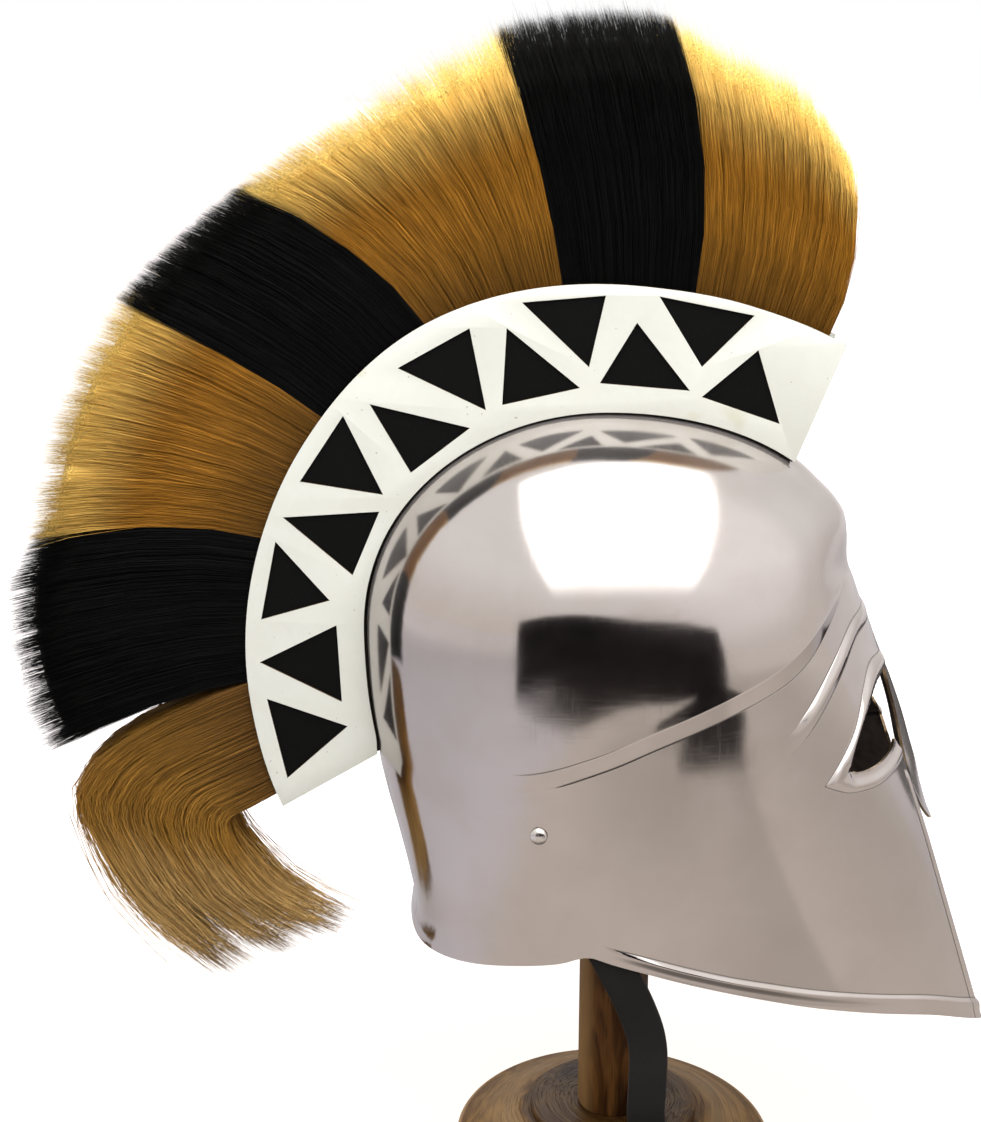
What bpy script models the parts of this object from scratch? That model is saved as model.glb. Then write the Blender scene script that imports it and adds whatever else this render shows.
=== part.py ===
"""Corinthian helmet with a horsehair crest, on a turned wooden stand.

Metres, +Z up. The origin is the middle of the stand's underside. The helmet faces +X and is
the same on both sides of the plane Y = 0. Angles round the bowl are in degrees from the
front, and angles round the crest are in degrees from +X up towards +Z.
"""

import math
import random

import bmesh
import bpy
import numpy as np
from mathutils import Quaternion, Vector

# Clearances
GAP = 0.0003
STRAP_SLACK = 0.0008
POST_SLACK = 0.0009

# Stand
BASE_RADIUS = 0.091
RIM_HEIGHT = 0.008
DISH_TOP = 0.0255
STEP_TOP = 0.030
STEP_RADIUS = 0.048
POST_RADIUS = 0.0205
STAND_HEIGHT = 0.4381

# Bowl and face of the helmet
SHEET = 0.0016
HELM_HEIGHT = 0.339
HALF_WIDTH = 0.102
BACK_REACH = 0.1285
BROW_REACH = 0.129
FACE_SLOPE = 0.37
HELM_X = -0.010
NECK_FLARE = 0.005

# Openings of the face
EYE_SPREAD = 0.0642
EYE_HEIGHT = 0.042
EYE_DROP = 0.138
FACE_GAP = 0.059
NASAL_WIDTH = 0.028
NASAL_LENGTH = 0.0915
NASAL_KEEL = 0.0048
NASAL_TUCK = 0.0047

# Raised lines on the sheet
RIDGE_HEIGHT = 0.003
RIDGE_HALF = 0.0045
BROW_HEIGHT = 0.0026
BROW_HALF = 0.0047
BORDER_WIDTH = 0.0090
BORDER_HEIGHT = 0.0018
BORDER_PEAK = 0.4
RIDGE_ROOM = 0.45
EYE_BEAD_HALF = 0.0052
EYE_BEAD_HEIGHT = 0.0028
LID_BEAD_HALF = 0.0018
LID_BEAD_HEIGHT = 0.0018
LID_WIDTH = 0.0095
CHEEK_BEAD_HALF = 0.0018
CHEEK_BEAD_HEIGHT = 0.0010
BEAD_ROOT = 0.0009
BEAD_SETBACK = 0.95

# Crest
CREST_X = -0.012
CREST_DROP = 0.126
CREST_RADIUS = 0.1915
CREST_WIDTH = 0.036
PLATE = 0.0012
PLATE_LIFT = 0.001
SADDLE = 0.0016
HAIR_SEAT = 0.004
FRONT_INNER = 45.8
FRONT_OUTER = 53.1
REAR_INNER = 207.6
REAR_OUTER = 208.6
CREST_INSET = 0.4

# Hair
HAIR_LENGTH = 0.123
HAIR_MARGIN = 0.003
HAIR_TIP_HALF = 0.026
HAIR_BEND = 1.4
LOCK_WIDTH = 0.0105
LOCK_DEPTH = 0.17
LOCK_UNEVEN = 0.02
LOCK_SWAY = 0.3
TAIL_SIZE = 0.16
TAIL_HALF = 0.020

# Strap and rivets
STRAP_WIDTH = 0.020
STRAP_THICKNESS = 0.0022
STRAP_LOW = 0.0135
STRAP_TURN = math.radians(60)
RIVET_ANGLE = 104.5
RIVET_DROP = 0.199
RIVET_HEAD = 0.0045
RIVET_SHANK = 0.0024
RIVET_RISE = 0.0024
BURR_RADIUS = 0.0044
BURR_THICKNESS = 0.0010

# Numbers of faces
COLUMNS = 25
COLUMN_CROWDING = 1.25
DOME_ROWS = 7
CREST_STEPS = 28
STAND_STEPS = 36
POST_STEPS = 24
RIVET_STEPS = 12
RIVET_RINGS = 4
BEAD_SIDES = 6
CHEEK_STEPS = 6
BOWL_SAMPLES = 260

# Places that follow from the sizes above
HELM_TOP = STAND_HEIGHT + POST_SLACK + SHEET
CREST_Z = HELM_TOP - CREST_DROP
CORE_HALF = CREST_WIDTH / 2 - PLATE - GAP
HAIR_ROOT_HALF = CORE_HALF - HAIR_MARGIN
NASAL_ANGLE = math.degrees(math.asin(NASAL_WIDTH / 2 / HALF_WIDTH))
STRAP_FORWARD = (
    POST_RADIUS
    + 2 * STRAP_SLACK
    + STRAP_WIDTH / 2 * math.cos(STRAP_TURN)
    + STRAP_THICKNESS / 2 * math.sin(STRAP_TURN)
)

# Material: colour, roughness, metallic
MATERIALS = {
    "steel": ((0.60, 0.57, 0.55), 0.18, 1.0),
    "plate": ((0.80, 0.79, 0.74), 0.45, 0.6),
    "core": ((0.012, 0.011, 0.010), 0.55, 0.0),
    "saddle": ((0.02, 0.018, 0.016), 0.8, 0.0),
    "leather": ((0.035, 0.034, 0.036), 0.55, 0.0),
    "wood": ((0.16, 0.075, 0.032), 0.45, 0.0),
    "tan": ((0.55, 0.32, 0.10), 0.5, 0.0),
    "black": ((0.010, 0.009, 0.009), 0.5, 0.0),
}

# Section of the base outside its step: out as a share of the way to the rim, down as a share
# of the way to RIM_HEIGHT
DISH = [
    # out, down
    (0.00, 0.00),
    (0.12, 0.06),
    (0.35, 0.22),
    (0.65, 0.55),
    (0.88, 0.82),
    (1.00, 1.00),
]
POST_CROWN = 0.5
CROWN_TURNS = (0, 25, 50, 70, 90)

# Outline of the back and sides of the bowl: drop below its top as a share of HELM_HEIGHT,
# reach behind the axis as a share of BACK_REACH, half width as a share of HALF_WIDTH
BOWL = [
    # drop, back, side
    (0.342, 1.000, 1.000),
    (0.448, 0.988, 1.000),
    (0.552, 0.944, 0.998),
    (0.649, 0.893, 0.995),
    (0.732, 0.846, 0.988),
    (0.808, 0.803, 0.978),
    (0.867, 0.785, 0.970),
    (1.006, 0.785, 0.941),
]
BROW_DROP = 0.248
BROW_POWER = 2.1

# Lines on the sheet: angle from the front, drop as a share of HELM_HEIGHT
EDGE_LINE = [
    (0.0, 1.018),
    (18.0, 0.994),
    (32.0, 0.953),
    (42.5, 0.927),
    (53.2, 0.898),
    (63.2, 0.865),
    (73.2, 0.833),
    (82.8, 0.806),
    (89.2, 0.790),
    (93.5, 0.781),
    (99.2, 0.796),
    (108.5, 0.807),
    (124.8, 0.821),
    (143.8, 0.830),
    (159.2, 0.839),
    (180.0, 0.847),
]
LONG_RIDGE = [
    (0.0, 0.243),
    (23.5, 0.252),
    (32.8, 0.283),
    (44.5, 0.328),
    (55.9, 0.364),
    (70.4, 0.403),
    (83.0, 0.439),
    (95.1, 0.478),
    (104.2, 0.499),
    (180.0, 0.520),
]
BROW_RIDGE = [
    (0.0, 0.313),
    (20.8, 0.314),
    (35.0, 0.361),
    (46.2, 0.424),
    (53.5, 0.468),
    (63.0, 0.505),
    (93.0, 0.560),
    (180.0, 0.610),
]
RIDGE_ENDS = (21.0, 34.0, 92.0, 114.0)
BROW_ENDS = (-2.0, -1.0, 46.0, 53.0)
BORDER_ENDS = (-2.0, -1.0, 66.0, 92.0)
FLARE_ENDS = (112.0, 152.0, 181.0, 182.0)
NASAL_FADE = (-1.1, -1.0, 1.07, 1.79)

# Rows of faces between the border and the brow ridge, as shares of the way
CHEEK_ROWS = (0.1, 0.25, 0.4, 0.55, 0.7, 0.85, 1.0)

# Half of the eye opening, from the nasal round the outer corner to the cheek: distance across
# as a share of the way to EYE_SPREAD, from the nasal's edge above and from the cheek's edge
# below, and height as a share of EYE_HEIGHT
EYE_UPPER = [(0.0, 1.03), (0.207, 1.03), (0.437, 0.97), (0.603, 0.83), (0.77, 0.62), (0.898, 0.37)]
EYE_LOWER = [(1.0, 0.07), (0.879, 0.02), (0.741, 0.0), (0.556, 0.02), (0.371, 0.07), (0.167, 0.15)]
CHEEK_CORNER = (0.075, 0.22)

# Outer ends of two beads of the eye: out and down as shares of LID_WIDTH, and taper
EYE_BEAD_END = (0.45, 0.55, 0.35)
LID_BEAD_END = (0.9, 0.55, 0.5)

# Nasal: drop as a share of NASAL_LENGTH, half width as a share of half of NASAL_WIDTH
NASAL = [(0.08, 0.86), (0.3, 0.78), (0.55, 0.86), (0.78, 1.0), (0.9, 0.82), (0.97, 0.45)]

# Side view of the nasal: drop as before, how far it lies back from the line of the face as a
# share of NASAL_TUCK, and how far its middle stands out as a share of NASAL_KEEL
NASAL_SIDE = [
    # drop, tuck, keel
    (-0.15, 0.00, 0.00),
    (0.00, 0.00, 0.50),
    (0.20, 0.35, 0.70),
    (0.40, 0.78, 1.00),
    (0.56, 0.96, 1.00),
    (0.74, 1.00, 0.65),
    (0.93, 0.85, 0.25),
    (1.10, 0.00, 0.00),
]

# Crest: share of the way from the front end to the rear, radius as a share of CREST_RADIUS
CREST_OUTLINE = [
    (0.00, 1.051),
    (0.10, 1.015),
    (0.20, 0.998),
    (0.42, 1.014),
    (0.60, 0.990),
    (0.70, 0.984),
    (0.88, 0.998),
    (1.00, 1.027),
]

# Cut-outs of a plate: the angle and height of the point, the two angles and the height of
# the base, with heights as shares of the band
CUTOUTS = [
    # point_at, point_up, base_from, base_to, base_up
    (64.2, 0.680, 53.6, 70.0, 0.190),
    (72.1, 0.430, 67.2, 82.0, 0.935),
    (85.0, 0.710, 72.8, 91.3, 0.220),
    (93.4, 0.350, 90.3, 103.3, 0.910),
    (106.7, 0.745, 95.5, 112.2, 0.190),
    (115.8, 0.200, 112.4, 125.6, 0.830),
    (133.0, 0.765, 120.6, 136.9, 0.130),
    (144.5, 0.190, 137.5, 150.7, 0.865),
    (157.5, 0.875, 148.1, 163.8, 0.135),
    (170.5, 0.295, 161.9, 175.8, 0.870),
    (183.4, 0.880, 175.8, 193.3, 0.220),
    (199.0, 0.210, 190.0, 204.5, 0.855),
]

# Tufts of hair: the angles where each starts and ends, at its root and at its tips
TUFTS = [
    # name, root_from, root_to, tip_from, tip_to, colour
    ("hair_tan_front", 55.5, 76.5, 65.9, 84.9, "tan"),
    ("hair_black_top", 76.5, 96.8, 84.9, 100.0, "black"),
    ("hair_tan_crown", 96.8, 118.4, 100.0, 128.4, "tan"),
    ("hair_black_rear", 118.4, 140.2, 128.4, 143.5, "black"),
    ("hair_tan_rear", 140.2, 162.3, 143.5, 169.7, "tan"),
    ("hair_black_low", 162.3, 186.8, 169.7, 191.6, "black"),
]
TAIL_ROOT = (186.8, 206.5)

# Places of the rings of faces along a tuft, as shares of its length
TUFT_LEVELS = (0.0, 0.3, 0.62, 0.94)
TAIL_LEVELS = (0.0, 0.15, 0.3, 0.45, 0.6, 0.75, 0.9)

# Length of the hair by the angle of its tip, as a share of HAIR_LENGTH
HAIR_OUTLINE = [
    (65.9, 0.74),
    (72.8, 0.91),
    (80.0, 0.97),
    (87.5, 1.08),
    (97.0, 1.07),
    (104.3, 1.00),
    (117.6, 0.92),
    (128.0, 0.915),
    (143.0, 0.96),
    (155.0, 0.98),
    (169.0, 0.955),
    (175.0, 1.02),
    (186.0, 0.99),
    (191.6, 0.94),
]

# Tail of hair behind the crest: its upper and lower edges, from the rear corner of the
# plates, as shares of TAIL_SIZE, and its half thickness as a share of TAIL_HALF
TAIL = [
    # upper_x, upper_z, lower_x, lower_z, half
    (-0.480, 0.215, -0.171, -0.024, 0.90),
    (-0.720, -0.030, -0.240, -0.160, 1.00),
    (-0.672, -0.290, -0.210, -0.330, 1.00),
    (-0.490, -0.560, -0.075, -0.475, 0.80),
    (-0.190, -0.735, 0.110, -0.530, 0.45),
]

# Strap from the rivet down to the middle of its loop: forward of the rivet as a share of
# the way to STRAP_FORWARD, drop as a share of the way down, half spread as a share of the
# spread where the strap leaves the helmet
STRAP = [
    # forward, drop, spread
    (-0.160, -0.075, 1.000),
    (0.000, 0.000, 1.000),
    (0.270, 0.180, 1.000),
    (0.520, 0.357, 1.000),
    (0.680, 0.498, 1.000),
    (0.735, 0.600, 0.995),
    (0.750, 0.720, 0.985),
    (0.775, 0.830, 0.950),
    (0.850, 0.928, 0.830),
    (0.940, 0.984, 0.540),
    (0.990, 0.999, 0.250),
    (1.000, 1.000, 0.000),
]


def through(table, column, place):
    """Smooth curve through two columns of a table, with no overshoot between its rows."""
    xs = np.array([row[0] for row in table], float)
    ys = np.array([row[column] for row in table], float)
    steps = np.diff(xs)
    rates = np.diff(ys) / steps
    slopes = np.concatenate(([rates[0]], np.zeros(len(rates) - 1), [rates[-1]]))
    for i in range(1, len(rates)):
        if rates[i - 1] * rates[i] > 0:
            before = 2 * steps[i] + steps[i - 1]
            after = steps[i] + 2 * steps[i - 1]
            slopes[i] = (before + after) / (before / rates[i - 1] + after / rates[i])
    place = min(max(place, xs[0]), xs[-1])
    i = min(max(int(np.searchsorted(xs, place)) - 1, 0), len(steps) - 1)
    t = (place - xs[i]) / steps[i]
    value = (2 * t**3 - 3 * t**2 + 1) * ys[i] + (3 * t**2 - 2 * t**3) * ys[i + 1]
    value += (t**3 - 2 * t**2 + t) * steps[i] * slopes[i]
    value += (t**3 - t**2) * steps[i] * slopes[i + 1]
    return float(value)


def ease(t):
    t = min(max(t, 0.0), 1.0)
    return t * t * (3 - 2 * t)


def fade(ends, place):
    """1 between the two middle places, easing to 0 at the outer two."""
    rise = ease((place - ends[0]) / (ends[1] - ends[0]))
    return rise * ease((ends[3] - place) / (ends[3] - ends[2]))


def height_at(drop):
    return HELM_TOP - drop * HELM_HEIGHT


def drop_at(z):
    return (HELM_TOP - z) / HELM_HEIGHT


def line_height(line, angle):
    return height_at(through(line, 1, angle))


def dome(drop, widest, power):
    """Reach of a dome above its widest place, as a share of its full reach."""
    rise = min(max((widest - drop) / widest, 0.0), 1.0)
    return (1 - rise**power) ** (1 / power)


def back_reach(z):
    drop = drop_at(z)
    if drop < BOWL[0][0]:
        return BACK_REACH * dome(drop, BOWL[0][0], 2)
    return BACK_REACH * through(BOWL, 1, drop)


def side_reach(z):
    drop = drop_at(z)
    if drop < BOWL[0][0]:
        return HALF_WIDTH * dome(drop, BOWL[0][0], 2)
    return HALF_WIDTH * through(BOWL, 2, drop)


def front_reach(z):
    drop = drop_at(z)
    if drop < BROW_DROP:
        return BROW_REACH * dome(drop, BROW_DROP, BROW_POWER)
    return BROW_REACH + (drop - BROW_DROP) * HELM_HEIGHT * FACE_SLOPE


def plain_skin(angle, z):
    """Point of the smooth outer surface, on the wearer's right, which is -Y."""
    turn = math.radians(angle)
    front = (1 + math.cos(turn)) / 2
    reach = back_reach(z) * (1 - front) + front_reach(z) * front
    return Vector((HELM_X + reach * math.cos(turn), -side_reach(z) * math.sin(turn), z))


def skin_normal(angle, z):
    step = 0.5
    rise = 0.002
    z = min(z, HELM_TOP - 2 * rise)
    across = plain_skin(angle + step, z) - plain_skin(angle - step, z)
    up = plain_skin(angle, z + rise) - plain_skin(angle, z - rise)
    normal = up.cross(across)
    return normal.normalized()


def stretch(line, angle):
    """How much longer than a line's width its height is, where the line climbs."""
    step = 1.0
    low, high = max(angle - step, 0), min(angle + step, 180)
    start = plain_skin(low, line_height(line, low))
    end = plain_skin(high, line_height(line, high))
    run = math.hypot(end.x - start.x, end.y - start.y)
    return math.hypot(1, (end.z - start.z) / run)


def bump(distance, half):
    share = min(abs(distance) / half, 1.0)
    return (1 + math.cos(math.pi * share)) / 2


def relief(angle, z):
    """How far the sheet stands out from the smooth surface at this place."""
    ridge = bump(z - line_height(LONG_RIDGE, angle), RIDGE_HALF * stretch(LONG_RIDGE, angle))
    out = RIDGE_HEIGHT * ridge * fade(RIDGE_ENDS, angle)
    brow = bump(z - line_height(BROW_RIDGE, angle), BROW_HALF * stretch(BROW_RIDGE, angle))
    out += BROW_HEIGHT * brow * fade(BROW_ENDS, angle)
    above_edge = z - line_height(EDGE_LINE, angle)
    peak = BORDER_WIDTH * BORDER_PEAK
    border = bump(above_edge - peak, BORDER_WIDTH - peak)
    out += BORDER_HEIGHT * border * fade(BORDER_ENDS, angle)
    flare = max(1 - above_edge / (3 * BORDER_WIDTH), 0.0)
    out += NECK_FLARE * flare**2 * fade(FLARE_ENDS, angle)
    down = (HELM_TOP - EYE_DROP - z) / NASAL_LENGTH
    keel = max(1 - (angle / NASAL_ANGLE) ** 2, 0.0)
    out += NASAL_KEEL * keel * through(NASAL_SIDE, 2, down)
    out -= NASAL_TUCK * fade(NASAL_FADE, angle / NASAL_ANGLE) * through(NASAL_SIDE, 1, down)
    return out


def skin(angle, z):
    return plain_skin(angle, z) + skin_normal(angle, z) * relief(angle, z)


def row_heights(angle):
    """Heights of the rows of faces at this angle, from the lower edge to the dome's top."""
    edge = line_height(EDGE_LINE, angle)
    brow = line_height(BROW_RIDGE, angle)
    ridge = line_height(LONG_RIDGE, angle)
    room = (ridge - brow) * RIDGE_ROOM
    brow_half = min(BROW_HALF * stretch(BROW_RIDGE, angle), room)
    ridge_half = min(RIDGE_HALF * stretch(LONG_RIDGE, angle), room)
    rows = [edge, edge + BORDER_WIDTH * BORDER_PEAK, edge + BORDER_WIDTH]
    low, high = rows[-1], brow - brow_half
    rows += [low + (high - low) * share for share in CHEEK_ROWS]
    rows += [brow, brow + brow_half]
    rows += [(brow + brow_half + ridge - ridge_half) / 2]
    rows += [ridge - ridge_half, ridge, ridge + ridge_half]
    low = rows[-1]
    for i in range(1, DOME_ROWS):
        rows.append(low + (HELM_TOP - low) * math.sin(math.pi / 2 * i / DOME_ROWS))
    return rows + [HELM_TOP]


def new_object(name, data, collection, material=None):
    obj = bpy.data.objects.new(name, data)
    collection.objects.link(obj)
    if material:
        obj.data.materials.append(material)
    return obj


def hide(obj):
    obj.hide_render = True
    obj.display_type = "WIRE"


def shade(obj, sharp=math.radians(35)):
    for polygon in obj.data.polygons:
        polygon.use_smooth = True
    obj.data.set_sharp_from_angle(angle=sharp)


def finish(mesh, name, faces_out=True):
    """Merges doubles, points the faces out and makes the mesh from a bmesh."""
    bmesh.ops.remove_doubles(mesh, verts=mesh.verts, dist=1e-6)
    bmesh.ops.dissolve_degenerate(mesh, dist=1e-6, edges=mesh.edges)
    if faces_out:
        bmesh.ops.recalc_face_normals(mesh, faces=mesh.faces)
    data = bpy.data.meshes.new(name)
    mesh.to_mesh(data)
    mesh.free()
    return data


def loft(name, sections):
    """Closed body through rings of points, with a face across each end."""
    mesh = bmesh.new()
    rings = [[mesh.verts.new(point) for point in section] for section in sections]
    for ring, after in zip(rings, rings[1:]):
        for i in range(len(ring)):
            j = (i + 1) % len(ring)
            mesh.faces.new((ring[i], ring[j], after[j], after[i]))
    mesh.faces.new(rings[0])
    mesh.faces.new(rings[-1])
    return finish(mesh, name)


def turned(name, profile, steps, collection, material=None):
    """Turned solid: a profile of radius and height, from its top down its outer side."""
    data = bpy.data.meshes.new(name)
    points = [(radius, 0.0, height) for radius, height in profile]
    data.from_pydata(points, [(i, i + 1) for i in range(len(points) - 1)], [])
    obj = new_object(name, data, collection, material)
    screw = obj.modifiers.new("Turn", "SCREW")
    screw.steps = steps
    screw.render_steps = steps
    screw.use_merge_vertices = True
    screw.merge_threshold = 0.00001
    screw.use_smooth_shade = True
    return obj


def flat_curve(name, outlines, half_thickness):
    """Flat outline in local X and Y, with any further outlines as holes in it."""
    curve = bpy.data.curves.new(name, "CURVE")
    curve.dimensions = "2D"
    curve.fill_mode = "BOTH"
    curve.extrude = half_thickness
    for outline in outlines:
        spline = curve.splines.new("POLY")
        spline.points.add(len(outline) - 1)
        for point, (x, y) in zip(spline.points, outline):
            point.co = (x, y, 0.0, 1.0)
        spline.use_cyclic_u = True
    return curve


def boolean(obj, name, operation, other):
    modifier = obj.modifiers.new(name, "BOOLEAN")
    modifier.operation = operation
    modifier.object = other
    modifier.solver = "EXACT"


def mirror(obj, merge):
    modifier = obj.modifiers.new("Mirror", "MIRROR")
    modifier.use_axis = (False, True, False)
    modifier.use_mirror_merge = merge
    modifier.merge_threshold = 0.00001


def make_material(name):
    colour, roughness, metallic = MATERIALS[name]
    material = bpy.data.materials.new(name)
    material.use_nodes = True
    shader = material.node_tree.nodes["Principled BSDF"]
    shader.inputs["Base Color"].default_value = (*colour, 1.0)
    shader.inputs["Roughness"].default_value = roughness
    shader.inputs["Metallic"].default_value = metallic
    return material


def column_angles():
    """Angles of the columns of faces, closer together at the front, one at the side notch."""
    angles = [180 * (i / COLUMNS) ** COLUMN_CROWDING for i in range(COLUMNS + 1)]
    notch = max(EDGE_LINE, key=lambda row: -row[1])[0]
    nearest = min(range(len(angles)), key=lambda i: abs(angles[i] - notch))
    angles[nearest] = notch
    return angles


def shell_sheet():
    """Half of the helmet's outer surface, as an open grid moved onto the skin."""
    angles = column_angles()
    columns = [row_heights(angle) for angle in angles]
    rows = len(columns[0])
    mesh = bmesh.new()
    bmesh.ops.create_grid(mesh, x_segments=len(angles) - 1, y_segments=rows - 1, size=1.0)
    for vertex in mesh.verts:
        i = round((vertex.co.x + 1) / 2 * (len(angles) - 1))
        j = round((vertex.co.y + 1) / 2 * (rows - 1))
        z = columns[i][j]
        if j == rows - 1:
            vertex.co = (HELM_X, 0.0, HELM_TOP)
            continue
        vertex.co = skin(angles[i], z)
        if i in (0, len(angles) - 1):
            vertex.co.y = 0.0
    data = finish(mesh, "helmet_shell", faces_out=False)
    side = data.polygons[len(data.polygons) // 2]
    if side.normal.dot(side.center - Vector((HELM_X, 0.0, CREST_Z))) < 0:
        data.flip_normals()
    return data


def eye_points(table, inner):
    """Places on the front view, for shares of the way out from an inner edge and of the eye's
    height."""
    low = HELM_TOP - EYE_DROP - EYE_HEIGHT
    return [(inner + out * (EYE_SPREAD - inner), low + up * EYE_HEIGHT) for out, up in table]


def upper_eye():
    return eye_points(EYE_UPPER, NASAL_WIDTH / 2)


def lower_eye():
    return eye_points(EYE_LOWER, FACE_GAP / 2)


def cheek_corner():
    return eye_points([CHEEK_CORNER], FACE_GAP / 2)[0]


def face_outline():
    """Front view of what is cut away: both eyes and the gap, round the nasal."""
    corner = cheek_corner()
    half = upper_eye() + lower_eye() + [corner]
    half.append((FACE_GAP / 2, corner[1] - (corner[0] - FACE_GAP / 2) * 4))
    half.append((FACE_GAP / 2, height_at(1.1)))
    top = HELM_TOP - EYE_DROP
    nasal = [(w * NASAL_WIDTH / 2, top - d * NASAL_LENGTH) for d, w in reversed(NASAL)]
    half = [(0.0, top - NASAL_LENGTH)] + nasal + half
    return half + [(-y, z) for y, z in reversed(half[1:])]


def on_face(y, z):
    """Angle of the skin that lies at this distance from the mid-plane."""
    return math.degrees(math.asin(min(abs(y) / side_reach(z), 1.0)))


def bead(name, path, half_width, height, collection, both_sides):
    """Raised bead along points (y, z, taper) of the front view, sunk a little into the sheet."""
    places = []
    for y, z, taper in path:
        angle = on_face(y, z)
        point = skin(angle, z)
        normal = skin_normal(angle, z)
        if y > 0:
            point.y, normal.y = -point.y, -normal.y
        places.append((point, normal, taper))
    sections = []
    for i, (point, normal, taper) in enumerate(places):
        before = places[max(i - 1, 0)][0]
        after = places[min(i + 1, len(places) - 1)][0]
        side = (after - before).cross(normal).normalized()
        half_height = (height * taper + BEAD_ROOT) / 2
        centre = point + normal * (half_height - BEAD_ROOT)
        ring = []
        for k in range(BEAD_SIDES):
            turn = 2 * math.pi * k / BEAD_SIDES
            across = side * (half_width * taper * math.cos(turn))
            ring.append(centre + across + normal * (half_height * math.sin(turn)))
        sections.append(ring)
    obj = new_object(name, loft(name, sections), collection)
    if both_sides:
        mirror(obj, False)
    hide(obj)
    return obj


def eye_bead_path():
    """Along the upper edge of both eyes, half a bead outside the opening."""
    path = []
    outline = upper_eye() + lower_eye()[:1]
    for i, (y, z) in enumerate(outline):
        before = outline[max(i - 1, 0)]
        after = outline[min(i + 1, len(outline) - 1)]
        run, rise = after[0] - before[0], after[1] - before[1]
        length = math.hypot(run, rise)
        offset = EYE_BEAD_HALF * BEAD_SETBACK / length
        path.append((y - rise * offset, z + run * offset, 1.0))
    y, z = path[-1][:2]
    out, down, taper = EYE_BEAD_END
    path.append((y + LID_WIDTH * out, z - LID_WIDTH * down, taper))
    return [(-y, z, taper) for y, z, taper in reversed(path)] + path


def lid_bead_path():
    """Below the eye, the width of the lid away from the opening."""
    path = []
    outline = lower_eye()[1:]
    for i, (y, z) in enumerate(outline):
        after = outline[min(i + 1, len(outline) - 1)]
        before = outline[max(i - 1, 0)]
        run, rise = after[0] - before[0], after[1] - before[1]
        length = math.hypot(run, rise)
        path.append((-(y - rise / length * LID_WIDTH), z + run / length * LID_WIDTH, 1.0))
    y, z = lower_eye()[0]
    out, down, taper = LID_BEAD_END
    path.insert(0, (-y - LID_WIDTH * out, z - LID_WIDTH * down, taper))
    return path


def cheek_bead_path():
    """Down the front edge of the cheek."""
    y = -FACE_GAP / 2 - CHEEK_BEAD_HALF * BEAD_SETBACK
    top = cheek_corner()[1] - 2 * LID_WIDTH
    bottom = line_height(EDGE_LINE, on_face(y, height_at(1.0))) + BORDER_WIDTH * BORDER_PEAK
    heights = [top + (bottom - top) * i / CHEEK_STEPS for i in range(CHEEK_STEPS + 1)]
    return [(y, z, 1.0) for z in heights]


def rivet_frame():
    """Point on the smooth skin and outward direction of the right rivet."""
    z = HELM_TOP - RIVET_DROP
    return plain_skin(RIVET_ANGLE, z), skin_normal(RIVET_ANGLE, z)


def angle_at(x, z):
    """Angle of the smooth skin at this distance forward and this height."""
    low, high = 1.0, 179.0
    for _ in range(40):
        middle = (low + high) / 2
        if plain_skin(middle, z).x > x:
            low = middle
        else:
            high = middle
    return low


def strap_path():
    """Half of the strap's middle line, rivet first, with the way that the sheet faces at each
    point, and how freely the strap hangs there and how far it has turned to pass the post."""
    rivet, out = rivet_frame()
    low = STEP_TOP + STRAP_LOW
    edge_z = line_height(EDGE_LINE, EDGE_LINE[8][0])
    depth = SHEET + STRAP_SLACK + STRAP_THICKNESS / 2
    points = []
    for forward, drop, share in STRAP:
        x = rivet.x + forward * (STRAP_FORWARD - rivet.x)
        z = rivet.z + drop * (low - rivet.z)
        beside = max(z, edge_z)
        angle = angle_at(x, beside)
        face = skin_normal(angle, beside)
        spread = -plain_skin(angle, beside).y + depth / face.y
        hangs = Vector((ease((edge_z - z) / STRAP_WIDTH / 2), 1 - share, 0))
        points.append((Vector((x, -spread * share, z)), face, hangs))
    return points


def smooth_path(points, per_span):
    """Catmull-Rom curve through the points."""
    path = []
    for i in range(len(points) - 1):
        a, b = points[max(i - 1, 0)], points[i]
        c, d = points[i + 1], points[min(i + 2, len(points) - 1)]
        for k in range(per_span):
            t = k / per_span
            path.append(
                0.5
                * (
                    2 * b
                    + (c - a) * t
                    + (2 * a - 5 * b + 4 * c - d) * t**2
                    + (3 * b - a - 3 * c + d) * t**3
                )
            )
    path.append(points[-1])
    return path


def make_strap(collection, material):
    half = strap_path()
    points = [point for point, face, hangs in half]
    points += [Vector((p.x, -p.y, p.z)) for p in reversed(points[:-1])]
    faces = [face for point, face, hangs in half]
    faces += [Vector((f.x, -f.y, f.z)) for f in reversed(faces[:-1])]
    hangs = [hang for point, face, hang in half]
    hangs += hangs[-2::-1]
    path, faces, hangs = (smooth_path(rows, 2) for rows in (points, faces, hangs))
    mesh = bmesh.new()
    bmesh.ops.create_grid(mesh, x_segments=len(path) - 1, y_segments=1, size=1.0)
    for vertex in mesh.verts:
        i = round((vertex.co.x + 1) / 2 * (len(path) - 1))
        along = (path[min(i + 1, len(path) - 1)] - path[max(i - 1, 0)]).normalized()
        against = faces[i].cross(along).normalized()
        free = (Vector((1, 0, 0)) - along * along.x).normalized()
        free = Quaternion(along, STRAP_TURN * ease(hangs[i].y)) @ free
        across = against.lerp(free, min(max(hangs[i].x, 0), 1)).normalized()
        vertex.co = path[i] + across * (STRAP_WIDTH / 2 * vertex.co.y)
    strap = new_object("chin_strap", finish(mesh, "chin_strap"), collection, material)
    solidify = strap.modifiers.new("Leather", "SOLIDIFY")
    solidify.thickness = STRAP_THICKNESS
    solidify.offset = 0.0
    return strap


def place_on_rivet(obj, side):
    point, out = rivet_frame()
    if side > 0:
        point.y, out.y = -point.y, -out.y
    obj.location = point
    obj.rotation_mode = "QUATERNION"
    obj.rotation_quaternion = out.to_track_quat("Z", "Y")


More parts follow.
